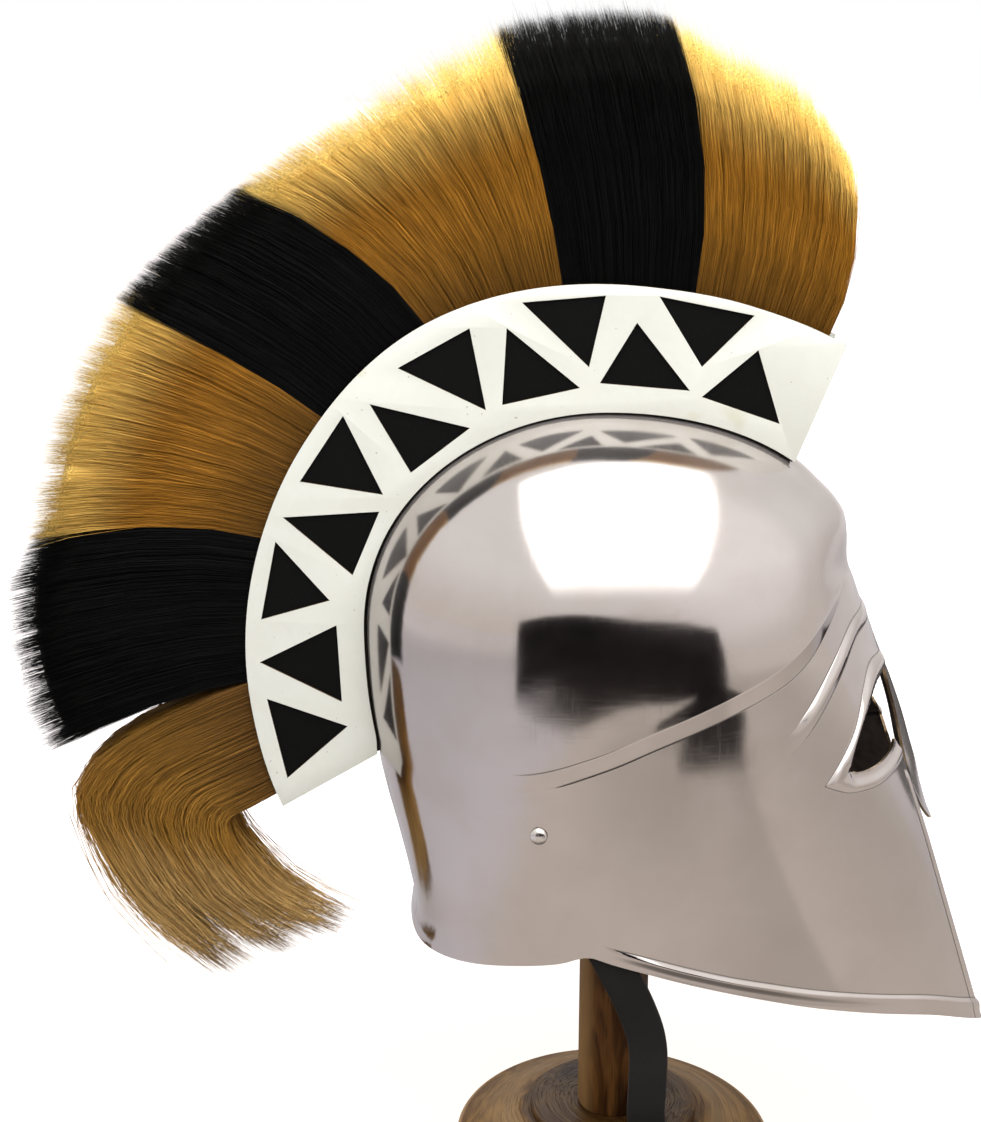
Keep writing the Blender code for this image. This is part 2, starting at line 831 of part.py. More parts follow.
def rivet_profile():
    """From the top of the head down to the burr inside the strap."""
    grip = SHEET + STRAP_SLACK * 2 + STRAP_THICKNESS + GAP
    head = []
    for i in range(RIVET_RINGS + 1):
        turn = math.pi / 2 * i / RIVET_RINGS
        head.append((RIVET_HEAD * math.sin(turn), GAP * 2 + RIVET_RISE * math.cos(turn)))
    return head + [
        (RIVET_SHANK, GAP * 2),
        (RIVET_SHANK, -grip),
        (BURR_RADIUS, -grip),
        (BURR_RADIUS, -grip - BURR_THICKNESS),
        (0.0, -grip - BURR_THICKNESS),
    ]


def bowl_radius(angle):
    """Radius of the bowl's mid-plane outline, seen from the crest's centre."""
    heights = [HELM_TOP - HELM_HEIGHT * (i / BOWL_SAMPLES) ** 2 for i in range(BOWL_SAMPLES + 1)]
    points = [(HELM_X + front_reach(z), z) for z in reversed(heights)]
    points += [(HELM_X - back_reach(z), z) for z in heights]
    turns = [math.degrees(math.atan2(z - CREST_Z, x - CREST_X)) % 360 for x, z in points]
    radii = [math.hypot(x - CREST_X, z - CREST_Z) for x, z in points]
    order = np.argsort(turns)
    return float(np.interp(angle, np.array(turns)[order], np.array(radii)[order]))


def inner_radius(angle):
    return bowl_radius(angle) + PLATE_LIFT


def outer_radius(angle):
    share = (angle - FRONT_OUTER) / (REAR_OUTER - FRONT_OUTER)
    return CREST_RADIUS * through(CREST_OUTLINE, 1, share)


def around(angle, radius):
    turn = math.radians(angle)
    return CREST_X + radius * math.cos(turn), CREST_Z + radius * math.sin(turn)


def band_outline(inner, outer, inset):
    """Outline of a band of the crest, its ends drawn in by an angle."""
    lower, upper = [], []
    for i in range(CREST_STEPS + 1):
        share = i / CREST_STEPS
        below = FRONT_INNER + inset + share * (REAR_INNER - FRONT_INNER - 2 * inset)
        above = FRONT_OUTER + inset + share * (REAR_OUTER - FRONT_OUTER - 2 * inset)
        lower.append(around(below, inner(below)))
        upper.append(around(above, outer(above)))
    return upper + lower[::-1]


def cutout(row):
    point_at, point_up, base_from, base_to, base_up = row

    def place(angle, up):
        low, high = inner_radius(angle), outer_radius(angle)
        return around(angle, low + up * (high - low))

    return [place(point_at, point_up), place(base_from, base_up), place(base_to, base_up)]


def stand_up(obj, y):
    """Turns a flat curve from the XY plane up into the plane of the crest."""
    obj.rotation_euler = (math.pi / 2, 0.0, 0.0)
    obj.location = (0.0, y, 0.0)


def make_crest(collection, plate_material, core_material, saddle_material):
    outline = band_outline(inner_radius, outer_radius, 0.0)
    holes = [cutout(row) for row in CUTOUTS]
    for name, side in (("crest_plate_right", -1), ("crest_plate_left", 1)):
        curve = flat_curve(name, [outline] + holes, PLATE / 2)
        plate = new_object(name, curve, collection, plate_material)
        stand_up(plate, side * (CREST_WIDTH - PLATE) / 2)
    saddle_top = GAP + SADDLE
    core_outline = band_outline(
        lambda angle: bowl_radius(angle) + saddle_top + GAP,
        lambda angle: outer_radius(angle) - HAIR_SEAT,
        CREST_INSET,
    )
    core = new_object(
        "crest_core", flat_curve("crest_core", [core_outline], CORE_HALF), collection, core_material
    )
    stand_up(core, 0.0)
    shares = (-1.0, -0.5, 0.0, 0.5, 1.0)
    sections = []
    for i in range(CREST_STEPS + 1):
        run = REAR_INNER - FRONT_INNER - 2 * CREST_INSET
        angle = FRONT_INNER + CREST_INSET + i / CREST_STEPS * run
        under = []
        for share in shares:
            y = share * (CORE_HALF - GAP)
            fall = HALF_WIDTH - math.sqrt(HALF_WIDTH**2 - y**2)
            x, z = around(angle, bowl_radius(angle) + GAP - fall)
            under.append(Vector((x, y, z)))
        x, z = around(angle, bowl_radius(angle) + saddle_top)
        over = [Vector((x, side * (CORE_HALF - GAP), z)) for side in (1, -1)]
        sections.append(under + over)
    new_object("crest_saddle", loft("crest_saddle", sections), collection, saddle_material)


def tuft(name, place, half, levels, locks, seed, collection, material):
    """Tuft of locks fused side by side, each running to its own point.

    place(across, along) gives x and z, and half(along) the half thickness.
    """
    draw = random.Random(seed)
    mesh = bmesh.new()
    rings = []
    for along in levels:
        near, far = [], []
        for i in range(2 * locks + 1):
            x, z = place(i / (2 * locks), along)
            depth = half(along) * (1 - (LOCK_DEPTH * ease(along * 4) if i % 2 == 0 else 0))
            near.append(mesh.verts.new((x, -depth, z)))
            far.append(mesh.verts.new((x, depth, z)))
        rings.append((near, far))
    for (near, far), (near_up, far_up) in zip(rings, rings[1:]):
        for i in range(2 * locks):
            mesh.faces.new((near[i], near[i + 1], near_up[i + 1], near_up[i]))
            mesh.faces.new((far[i + 1], far[i], far_up[i], far_up[i + 1]))
        for i in (0, 2 * locks):
            mesh.faces.new((near[i], near_up[i], far_up[i], far[i]))
    near, far = rings[0]
    for i in range(2 * locks):
        mesh.faces.new((near[i], far[i], far[i + 1], near[i + 1]))
    near, far = rings[-1]
    for lock in range(locks):
        i = 2 * lock
        x, z = place((i + 1) / (2 * locks), 1.0 - draw.uniform(0.0, LOCK_UNEVEN))
        tip = mesh.verts.new((x, draw.uniform(-LOCK_SWAY, LOCK_SWAY) * half(1.0), z))
        edge = near[i : i + 3] + far[i : i + 3][::-1]
        for k in range(len(edge)):
            mesh.faces.new((edge[k], edge[(k + 1) % len(edge)], tip))
    return new_object(name, finish(mesh, name), collection, material)


def hair_root(angle):
    return outer_radius(angle) - HAIR_SEAT + GAP


def make_hair(collection, materials):
    def half(along):
        return HAIR_ROOT_HALF + (HAIR_TIP_HALF - HAIR_ROOT_HALF) * ease(along)

    for seed, (name, root_from, root_to, tip_from, tip_to, colour) in enumerate(TUFTS):
        # The neighbours share an edge, so each stays half a gap back from it
        inset = math.degrees(GAP / CREST_RADIUS) / (root_to - root_from)

        def place(across, along):
            share = inset + across * (1 - 2 * inset)
            root = root_from + share * (root_to - root_from)
            tip = tip_from + share * (tip_to - tip_from)
            start = hair_root(root)
            end = CREST_RADIUS + HAIR_LENGTH * through(HAIR_OUTLINE, 1, tip)
            angle = root + (tip - root) * along**HAIR_BEND
            return around(angle, start + (end - start) * along)

        locks = round(math.radians(root_to - root_from) * CREST_RADIUS / LOCK_WIDTH)
        tuft(name, place, half, TUFT_LEVELS, locks, seed, collection, materials[colour])


def make_tail(collection, material):
    corner = Vector(around(REAR_OUTER, outer_radius(REAR_OUTER)))
    inset = math.degrees(GAP / CREST_RADIUS)

    def edge(column, root):
        points = [Vector((*around(root, hair_root(root)), 0.0))]
        for row in TAIL:
            x, z = corner.x + row[column] * TAIL_SIZE, corner.y + row[column + 1] * TAIL_SIZE
            points.append(Vector((x, z, 0.0)))
        return smooth_path(points, 8)

    upper = edge(0, TAIL_ROOT[0] + inset)
    lower = edge(2, TAIL_ROOT[1])

    def place(across, along):
        i = round(along * (len(upper) - 1))
        point = upper[i].lerp(lower[i], across)
        if i == 0:
            root = TAIL_ROOT[0] + inset + across * (TAIL_ROOT[1] - TAIL_ROOT[0] - inset)
            return around(root, hair_root(root))
        return point.x, point.y

    def half(along):
        table = [(0.0, HAIR_ROOT_HALF / TAIL_HALF)]
        table += [((i + 1) / len(TAIL), row[4]) for i, row in enumerate(TAIL)]
        return TAIL_HALF * through(table, 1, along)

    locks = round(math.radians(TAIL_ROOT[1] - TAIL_ROOT[0]) * CREST_RADIUS / LOCK_WIDTH)
    tuft("hair_tail", place, half, TAIL_LEVELS, locks, len(TUFTS), collection, material)


def make_stand(collection, material):
    rise = DISH_TOP - RIM_HEIGHT
    run = BASE_RADIUS - STEP_RADIUS
    edge = (STEP_TOP - DISH_TOP) / 3
    profile = [(0.0, STEP_TOP), (STEP_RADIUS - edge, STEP_TOP), (STEP_RADIUS, STEP_TOP - edge)]
    for out, down in DISH:
        profile.append((STEP_RADIUS + out * run, DISH_TOP - down * rise))
    profile += [(BASE_RADIUS, edge), (BASE_RADIUS - edge, 0.0), (0.0, 0.0)]
    turned("stand_base", profile, STAND_STEPS, collection, material)
    profile = []
    for turn in CROWN_TURNS:
        out = math.sin(math.radians(turn))
        down = 1 - math.cos(math.radians(turn))
        profile.append((POST_RADIUS * out, STAND_HEIGHT - POST_RADIUS * POST_CROWN * down))
    profile += [(POST_RADIUS, STEP_TOP + GAP), (0.0, STEP_TOP + GAP)]
    turned("stand_post", profile, POST_STEPS, collection, material)


def make_shell(collection, material):
    shell = new_object("helmet_shell", shell_sheet(), collection, material)
    mirror(shell, True)
    solidify = shell.modifiers.new("Sheet", "SOLIDIFY")
    solidify.thickness = SHEET
    solidify.offset = -1.0
    solidify.use_even_offset = True
    return shell


def open_face(shell, cutters):
    """Adds the beads round the openings of the face, then cuts the openings."""
    beads = [
        bead("cheek_bead", cheek_bead_path(), CHEEK_BEAD_HALF, CHEEK_BEAD_HEIGHT, cutters, True),
        bead("lid_bead", lid_bead_path(), LID_BEAD_HALF, LID_BEAD_HEIGHT, cutters, True),
        bead("eye_bead", eye_bead_path(), EYE_BEAD_HALF, EYE_BEAD_HEIGHT, cutters, False),
    ]
    for part in beads:
        boolean(shell, part.name, "UNION", part)
    front = HELM_X + front_reach(height_at(1.1)) + NASAL_WIDTH
    back = HELM_X + BROW_REACH / 2
    curve = flat_curve("face_cutter", [face_outline()], (front - back) / 2)
    outline = new_object("face_outline", curve, cutters)
    data = bpy.data.meshes.new_from_object(outline.evaluated_get(graph()))
    mesh = bmesh.new()
    mesh.from_mesh(data)
    for vertex in mesh.verts:
        y, z, x = vertex.co
        vertex.co = ((front + back) / 2 + x, y, z)
    cutter = new_object("face_cutter", finish(mesh, "face_cutter"), cutters)
    bpy.data.objects.remove(outline)
    hide(cutter)
    boolean(shell, "Face", "DIFFERENCE", cutter)


def graph():
    bpy.context.view_layer.update()
    return bpy.context.evaluated_depsgraph_get()


def make_rivets(collection, cutters, material, drilled):
    for name, side in (("rivet_right", -1), ("rivet_left", 1)):
        rivet = turned(name, rivet_profile(), RIVET_STEPS, collection, material)
        place_on_rivet(rivet, side)
        deep = 4 * (SHEET + STRAP_THICKNESS)
        radius = RIVET_SHANK + GAP
        profile = [(0.0, deep), (radius, deep), (radius, -deep), (0.0, -deep)]
        drill = turned("drill_" + name, profile, RIVET_STEPS, cutters)
        place_on_rivet(drill, side)
        hide(drill)
        for obj in drilled:
            boolean(obj, "Hole_" + name, "DIFFERENCE", drill)


def main():
    for obj in list(bpy.data.objects):
        bpy.data.objects.remove(obj)
    parts = bpy.data.collections.new("corinthian_helmet")
    cutters = bpy.data.collections.new("cutters")
    for collection in (parts, cutters):
        bpy.context.scene.collection.children.link(collection)
    cutters.hide_render = True
    looks = {name: make_material(name) for name in MATERIALS}
    shell = make_shell(parts, looks["steel"])
    strap = make_strap(parts, looks["leather"])
    make_rivets(parts, cutters, looks["steel"], (shell, strap))
    open_face(shell, cutters)
    make_crest(parts, looks["plate"], looks["core"], looks["saddle"])
    make_hair(parts, looks)
    make_tail(parts, looks["tan"])
    make_stand(parts, looks["wood"])


main()
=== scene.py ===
"""Corinthian helmet with a horsehair crest, on a turned wooden stand.

Metres, +Z up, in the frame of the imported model: the helmet faces +X, the photographed side is
-Y, and both sides are alike but for the loose hair and the hang of the strap. Angles round the
bowl are in degrees from the front, and angles round the crest are in degrees from +X up
towards +Z.
"""

import math

import bmesh
import bpy
import numpy as np
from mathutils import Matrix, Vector


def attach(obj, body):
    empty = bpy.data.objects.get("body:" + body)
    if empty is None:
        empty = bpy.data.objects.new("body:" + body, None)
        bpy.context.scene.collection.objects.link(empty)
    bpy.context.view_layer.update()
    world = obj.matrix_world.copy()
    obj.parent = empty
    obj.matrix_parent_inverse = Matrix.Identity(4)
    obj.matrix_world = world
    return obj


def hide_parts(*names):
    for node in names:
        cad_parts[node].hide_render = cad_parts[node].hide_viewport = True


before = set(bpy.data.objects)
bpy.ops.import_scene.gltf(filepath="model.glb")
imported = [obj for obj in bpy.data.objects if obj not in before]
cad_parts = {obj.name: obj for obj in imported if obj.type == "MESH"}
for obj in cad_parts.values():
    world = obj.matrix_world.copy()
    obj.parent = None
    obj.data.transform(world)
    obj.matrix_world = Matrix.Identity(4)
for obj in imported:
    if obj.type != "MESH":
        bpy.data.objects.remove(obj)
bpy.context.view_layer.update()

MM = 0.001

# Sizes repeated from the CAD
STEP_TOP = 0.030
BASE_RADIUS = 0.091
RIM_HEIGHT = 0.008
DISH_TOP = 0.0255
STEP_RADIUS = 0.048
POST_RADIUS = 0.0205
STAND_HEIGHT = 0.4381
SHEET = 0.0016
HELM_TOP = 0.4406
HELM_HEIGHT = 0.339
HALF_WIDTH = 0.102
BACK_REACH = 0.1285
BROW_REACH = 0.129
FACE_SLOPE = 0.37
HELM_X = -0.010
NECK_FLARE = 0.005
EYE_SPREAD = 0.0642
EYE_HEIGHT = 0.042
EYE_DROP = 0.138
FACE_GAP = 0.059
NASAL_WIDTH = 0.028
NASAL_LENGTH = 0.0915
NASAL_KEEL = 0.0048
NASAL_TUCK = 0.0047
NASAL_ANGLE = math.degrees(math.asin(NASAL_WIDTH / 2 / HALF_WIDTH))
CREST_X = -0.012
CREST_Z = HELM_TOP - 0.126
CREST_RADIUS = 0.1915
CREST_WIDTH = 0.036
PLATE = 0.0012
PLATE_LIFT = 0.001
FRONT_INNER, FRONT_OUTER = 45.8, 53.1
REAR_INNER, REAR_OUTER = 207.6, 208.6
HAIR_SEAT = 0.0037
HAIR_ROOT_HALF = 0.0135
HAIR_TIP_HALF = 0.026
HAIR_LENGTH = 0.123
HAIR_BEND = 1.4
TAIL_SIZE = 0.16
TAIL_HALF = 0.020
STRAP_WIDTH = 0.020
STRAP_THICKNESS = 0.0022

# Sizes of the dressed pieces alone
PLATE_SKIRT = 0.0011
BODY_REACH = 0.9
BROKEN_EDGE = 0.00018

# Outline of the bowl: drop below its top, then reach behind and to the side, as shares
BOWL = [
    (0.342, 1.000, 1.000), (0.448, 0.988, 1.000), (0.552, 0.944, 0.998), (0.649, 0.893, 0.995),
    (0.732, 0.846, 0.988), (0.808, 0.803, 0.978), (0.867, 0.785, 0.970), (1.006, 0.785, 0.941),
]
WIDEST = 0.342
BROW_DROP = 0.248
BROW_POWER = 2.1

# How far the hammered front and back stand off the plain form: drop, mm
FRONT_FIT = [
    (0.000, 0.0), (0.110, 0.0), (0.137, 1.7), (0.157, 2.4), (0.190, 0.3), (0.226, -1.7),
    (0.267, 0.0), (0.340, 0.0), (0.430, 0.8), (0.520, 1.2), (0.600, 1.7), (0.680, 2.2),
    (0.930, 2.2), (1.100, 1.5),
]
BACK_FIT = [
    (0.000, 0.0), (0.525, 0.0), (0.565, 1.6), (0.610, 1.2), (0.670, 0.0), (0.740, -0.7),
    (0.790, -0.5), (0.840, 0.0), (1.100, 0.0),
]

# Lines on the sheet: angle from the front, drop
EDGE_LINE = [
    (0.0, 1.018), (18.0, 0.994), (32.0, 0.953), (42.5, 0.927), (53.2, 0.898), (63.2, 0.867),
    (73.2, 0.8365), (82.8, 0.809), (89.2, 0.7935), (93.5, 0.783), (99.2, 0.796), (108.5, 0.807),
    (124.8, 0.821), (143.8, 0.829), (159.2, 0.833), (170.0, 0.832), (180.0, 0.831),
]
LONG_RIDGE = [
    (0.0, 0.243), (23.1, 0.2505), (27.2, 0.2638), (32.8, 0.2827), (39.0, 0.3058), (44.5, 0.3283),
    (50.8, 0.3500), (55.9, 0.3645), (63.5, 0.3837), (70.4, 0.4027), (76.8, 0.4207), (83.0, 0.4391),
    (88.9, 0.4597), (95.1, 0.4777), (102.2, 0.4974), (110.6, 0.510), (180.0, 0.525),
]
BROW_RIDGE = [
    (0.0, 0.313), (20.8, 0.314), (35.0, 0.361), (46.2, 0.424), (53.5, 0.468), (63.0, 0.505),
    (93.0, 0.560), (180.0, 0.610),
]

# Eye opening: out as a share of the way to EYE_SPREAD, height as a share of EYE_HEIGHT
EYE_UPPER = [(0.0, 1.03), (0.207, 1.03), (0.437, 0.97), (0.603, 0.83), (0.77, 0.62), (0.898, 0.37)]
EYE_LOWER = [(1.0, 0.07), (0.879, 0.02), (0.741, 0.0), (0.556, 0.02), (0.371, 0.07), (0.167, 0.15)]
CHEEK_CORNER = (0.075, 0.22)

# Nasal: drop, half width
NASAL = [(0.08, 0.86), (0.3, 0.78), (0.55, 0.86), (0.78, 1.0), (0.9, 0.82), (0.97, 0.45)]
# Side view of the nasal: drop, tuck, keel
NASAL_SIDE = [
    (-0.12, 0.00, 0.00), (-0.02, 0.00, 0.03), (0.06, 0.08, 0.30), (0.20, 0.35, 0.68),
    (0.40, 0.78, 1.00), (0.56, 0.96, 1.00), (0.74, 1.00, 0.65), (0.93, 0.85, 0.25),
    (1.10, 0.00, 0.00),
]

# Outer edge of the rim round the eye, in the front view: out and height in mm
RIM_ABOVE = [
    (0.0, 310.0), (14.0, 311.8), (26.0, 313.4), (33.0, 313.0), (38.4, 310.7), (42.9, 306.6),
    (47.5, 300.9), (51.4, 294.3), (58.5, 282.0), (65.2, 271.6), (73.1, 258.7),
]
RIM_BELOW = [
    (73.1, 258.7), (68.9, 254.7), (64.9, 252.0), (58.8, 251.0), (51.4, 251.2), (41.5, 254.2),
    (32.8, 257.5), (29.5, 259.0),
]

# Crest: share of the way from front to rear, outer radius as a share
CREST_OUTLINE = [
    (0.00, 1.051), (0.10, 1.015), (0.20, 0.998), (0.42, 1.014), (0.60, 0.990), (0.70, 0.984),
    (0.88, 0.998), (1.00, 1.027),
]
# Cut-outs: the point's angle and height, then the base's two angles and its height
CUTOUTS = [
    (64.2, 0.680, 53.6, 70.0, 0.190), (72.1, 0.430, 67.2, 82.0, 0.935),
    (85.0, 0.710, 72.8, 91.3, 0.220), (93.4, 0.350, 90.3, 103.3, 0.910),
    (106.7, 0.745, 95.5, 112.2, 0.190), (115.8, 0.200, 112.4, 125.6, 0.830),
    (133.0, 0.765, 120.6, 136.9, 0.130), (144.5, 0.190, 137.5, 150.7, 0.865),
    (157.5, 0.875, 148.1, 163.8, 0.135), (170.5, 0.295, 161.9, 175.8, 0.870),
    (183.4, 0.880, 175.8, 193.3, 0.220), (199.0, 0.210, 190.0, 204.5, 0.855),
]
# Bands of hair: node, angles of the root, angles of the tips, colour
BANDS = [
    ("hair_tan_front", 55.5, 76.5, 65.9, 84.9, "tan"),
    ("hair_black_top", 76.5, 96.8, 84.9, 100.0, "black"),
    ("hair_tan_crown", 96.8, 118.4, 100.0, 128.4, "tan"),
    ("hair_black_rear", 118.4, 140.2, 128.4, 143.5, "black"),
    ("hair_tan_rear", 140.2, 162.3, 143.5, 169.7, "tan"),
    ("hair_black_low", 162.3, 186.8, 169.7, 191.6, "black"),
]
HAIR_OUTLINE = [
    (65.9, 0.74), (72.8, 0.91), (80.0, 0.97), (87.5, 1.08), (97.0, 1.07), (104.3, 1.00),
    (117.6, 0.92), (128.0, 0.915), (143.0, 0.96), (155.0, 0.98), (169.0, 0.955), (175.0, 1.02),
    (186.0, 0.99), (191.6, 0.94),
]
TAIL_ROOT = (186.8, 206.5)
# Tail: upper and lower edges from the rear corner of the plates, half thickness
TAIL = [
    (-0.335, 0.345, -0.115, -0.010, 0.85), (-0.585, 0.205, -0.190, -0.045, 0.95),
    (-0.715, 0.040, -0.190, -0.115, 1.00), (-0.668, -0.150, -0.140, -0.215, 1.00),
    (-0.525, -0.420, -0.020, -0.360, 0.85), (-0.240, -0.700, 0.215, -0.490, 0.55),
]
# Strap from the rivet to the middle of its loop: place in mm, and the way across it
STRAP = [
    ((-56.38, -92.11, 256.46), (0.708, -0.207, 0.675)),
    ((-44.73, -94.90, 241.60), (0.827, -0.168, 0.537)),
    ((-25.08, -97.11, 205.94), (0.879, -0.079, 0.471)),
    ((-6.38, -96.48, 170.88), (0.902, -0.006, 0.432)),
    ((6.76, -96.05, 142.95), (0.951, 0.001, 0.309)),
    ((12.56, -95.29, 122.74), (0.996, -0.003, 0.093)),
    ((13.06, -94.25, 98.97), (0.999, -0.004, 0.045)),
    ((13.08, -90.76, 77.18), (0.987, -0.057, 0.151)),
    ((17.93, -78.86, 57.76), (0.967, -0.240, 0.082)),
    ((21.60, -50.89, 46.67), (0.700, -0.200, -0.685)),
    ((24.30, -23.44, 43.70), (0.350, -0.050, -0.935)),
    ((24.60, 0.00, 43.50), (0.200, 0.000, -0.980)),
]
RIVET_PLACE = Vector((-0.04473, -0.09847, 0.24160))
RIVET_OUT = Vector((-0.1952, -0.98074, -0.00681))


# Curves
def ease(t):
    t = np.clip(t, 0.0, 1.0)
    return t * t * (3 - 2 * t)


def fade(ends, place):
    """1 between the two middle places, easing to 0 at the outer two."""
    rise = ease((place - ends[0]) / (ends[1] - ends[0]))
    return rise * ease((ends[3] - place) / (ends[3] - ends[2]))


def through(table, column, place, level_start=False):
    """Smooth curve through two columns of a table, with no overshoot between its rows."""
    xs = np.array([row[0] for row in table], float)
    ys = np.array([row[column] for row in table], float)
    steps = np.diff(xs)
    rates = np.diff(ys) / steps
    slopes = np.concatenate(([rates[0]], np.zeros(len(rates) - 1), [rates[-1]]))
    if level_start:
        slopes[0] = 0.0
    for i in range(1, len(rates)):
        if rates[i - 1] * rates[i] > 0:
            before = 2 * steps[i] + steps[i - 1]
            after = steps[i] + 2 * steps[i - 1]
            slopes[i] = (before + after) / (before / rates[i - 1] + after / rates[i])
    place = np.clip(np.asarray(place, float), xs[0], xs[-1])
    i = np.clip(np.searchsorted(xs, place) - 1, 0, len(steps) - 1)
    t = (place - xs[i]) / steps[i]
    value = (2 * t**3 - 3 * t**2 + 1) * ys[i] + (3 * t**2 - 2 * t**3) * ys[i + 1]
    value += (t**3 - 2 * t**2 + t) * steps[i] * slopes[i]
    return value + (t**3 - t**2) * steps[i] * slopes[i + 1]


def softened(values, spread):
    """The same row of values with its corners eased over so many places."""
    reach = int(3 * spread)
    weights = np.exp(-0.5 * (np.arange(-reach, reach + 1) / spread) ** 2)
    padded = np.pad(values, reach, mode="reflect", reflect_type="odd")
    return np.convolve(padded, weights / weights.sum(), mode="valid")


def round_curve(points, per_span):
    """Catmull-Rom curve through rows of numbers."""
    points = np.array(points, float)
    ends = np.vstack([points[:1], points, points[-1:]])
    t = (np.arange(per_span) / per_span)[:, None]
    spans = []
    for i in range(len(points) - 1):
        a, b, c, d = ends[i : i + 4]
        bend = (2 * a - 5 * b + 4 * c - d) * t**2 + (3 * b - a - 3 * c + d) * t**3
        spans.append(0.5 * (2 * b + (c - a) * t + bend))
    return np.vstack(spans + [points[-1:]])


# Surface of the bowl
DROPS = np.linspace(0.0, 1.1, 2201)
ANGLES = np.linspace(0.0, 180.0, 1801)
CROWN_ONLY = 0.16


def dome(drop, widest, power):
    rise = np.clip((widest - drop) / widest, 0.0, 1.0)
    return (1 - rise**power) ** (1 / power)


def eased_profile(raw, spread):
    soft = softened(raw, spread)
    return raw + (soft - raw) * ease((DROPS - CROWN_ONLY) / 0.12)


def bowl_profile(column):
    below = through(BOWL, column, DROPS, level_start=True)
    return eased_profile(np.where(DROPS < WIDEST, dome(DROPS, WIDEST, 2), below), 50)


BACK_PROFILE = BACK_REACH * bowl_profile(1)
SIDE_PROFILE = HALF_WIDTH * bowl_profile(2)
FACE_LINE = BROW_REACH * dome(DROPS, BROW_DROP, BROW_POWER)
FACE_LINE += np.clip(DROPS - BROW_DROP, 0, None) * HELM_HEIGHT * FACE_SLOPE
FACE_PROFILE = eased_profile(FACE_LINE, 14)
TEMPLE_PROFILE = eased_profile(FACE_LINE, 75)


def drop_at(z):
    return (HELM_TOP - z) / HELM_HEIGHT


def height_at(drop):
    return HELM_TOP - drop * HELM_HEIGHT


def side_reach(z):
    drop = drop_at(z)
    crown = HALF_WIDTH * dome(drop, WIDEST, 2)
    return np.where(drop < CROWN_ONLY, crown, np.interp(drop, DROPS, SIDE_PROFILE))


def back_reach(z):
    drop = drop_at(z)
    crown = BACK_REACH * dome(drop, WIDEST, 2)
    below = np.interp(drop, DROPS, BACK_PROFILE)
    return np.where(drop < CROWN_ONLY, crown, below) + MM * through(BACK_FIT, 1, drop)


def front_reach(angle, z):
    drop = drop_at(z)
    crown = BROW_REACH * dome(drop, BROW_DROP, BROW_POWER)
    face = np.interp(drop, DROPS, FACE_PROFILE)
    temple = np.interp(drop, DROPS, TEMPLE_PROFILE)
    below = face + (temple - face) * ease(angle / 32.0)
    fit = MM * through(FRONT_FIT, 1, drop) * (1 - ease((angle - 16.0) / 22.0))
    return np.where(drop < CROWN_ONLY, crown, below) + fit


def plain_skin(angle, z):
    """Points of the smooth outer surface, on the wearer's right, which is -Y."""
    turn = np.radians(angle)
    front = (1 + np.cos(turn)) / 2
    reach = back_reach(z) * (1 - front) + front_reach(np.abs(angle), z) * front
    x = HELM_X + reach * np.cos(turn)
    return np.stack([x, -side_reach(z) * np.sin(turn), z + 0 * x], axis=-1)


def skin_normal(angle, z):
    step, rise = 0.5, 0.0015
    z = np.minimum(z, HELM_TOP - 2 * rise)
    across = plain_skin(angle + step, z) - plain_skin(angle - step, z)
    up = plain_skin(angle, z + rise) - plain_skin(angle, z - rise)
    normal = np.cross(up, across)
    return normal / np.linalg.norm(normal, axis=-1, keepdims=True)


def sheet_line(table, spread):
    """Heights of a line all round the bowl, and how far the line's climb stretches it."""
    heights = softened(height_at(through(table, 1, ANGLES)), spread)
    points = plain_skin(ANGLES, heights)
    run = np.gradient(np.hypot(points[:, 0], 0)), np.gradient(points[:, 1])
    climb = np.gradient(heights) / np.hypot(*run)
    return heights, softened(np.hypot(1, np.clip(climb, -2, 2)), 20)


EDGE_HEIGHTS, _ = sheet_line(EDGE_LINE, 6)
LONG_HEIGHTS, LONG_STRETCH = sheet_line(LONG_RIDGE, 25)
BROW_HEIGHTS, BROW_STRETCH = sheet_line(BROW_RIDGE, 35)


def along_line(values, angle):
    return np.interp(angle, ANGLES, values)


# Raised work of the sheet
def ridge_width(angle):
    """Share of its full width that the long ridge has: it is narrow at its front end."""
    return 0.2 + 0.85 * ease((angle - 18.0) / 35.0)


LONG_CREASE = -4.3
LONG_TOP = 4.3
LONG_HEIGHT = 2.1
LONG_SWELL = 46.0
BROW_HALF = 4.1
BROW_HEIGHT = 1.9
BROW_SWELL = 0.9
BORDER_ROLL = 1.1, 2.0
CHEEK_BAND = 3.7
CHEEK_HEIGHT = 1.0
RIM_HEIGHT_MM = 2.1
LID_LIP = 1.3
LID_RIM = 0.72
LID_DEPTH = 0.2
FAR = 99.0

# Width of the border: angle, height of its crease above the edge in mm
BORDER_WIDTH = [(0, 13.4), (20, 12.8), (35, 12.0), (50, 11.0), (60, 10.2), (70, 9.2), (180, 8.8)]


def round_bead(share):
    """Section of a rounded bead, for 0 at one side to 1 at the other."""
    return np.sin(math.pi * np.clip(share, 0, 1)) ** 0.9


def long_ridge(distance, angle):
    """A step in the bowl: swollen above, then a leaning facet down to a sharp crease."""
    width = ridge_width(angle)
    facet = np.clip((distance / width - LONG_CREASE) / (LONG_TOP - LONG_CREASE), 0, 1) ** 0.9
    swell = 1 - ease((distance - LONG_TOP * width) / LONG_SWELL)
    tall = LONG_HEIGHT * np.minimum(width, 1.0) * fade((19.0, 36.0, 90.0, 114.0), angle)
    return tall * facet * swell


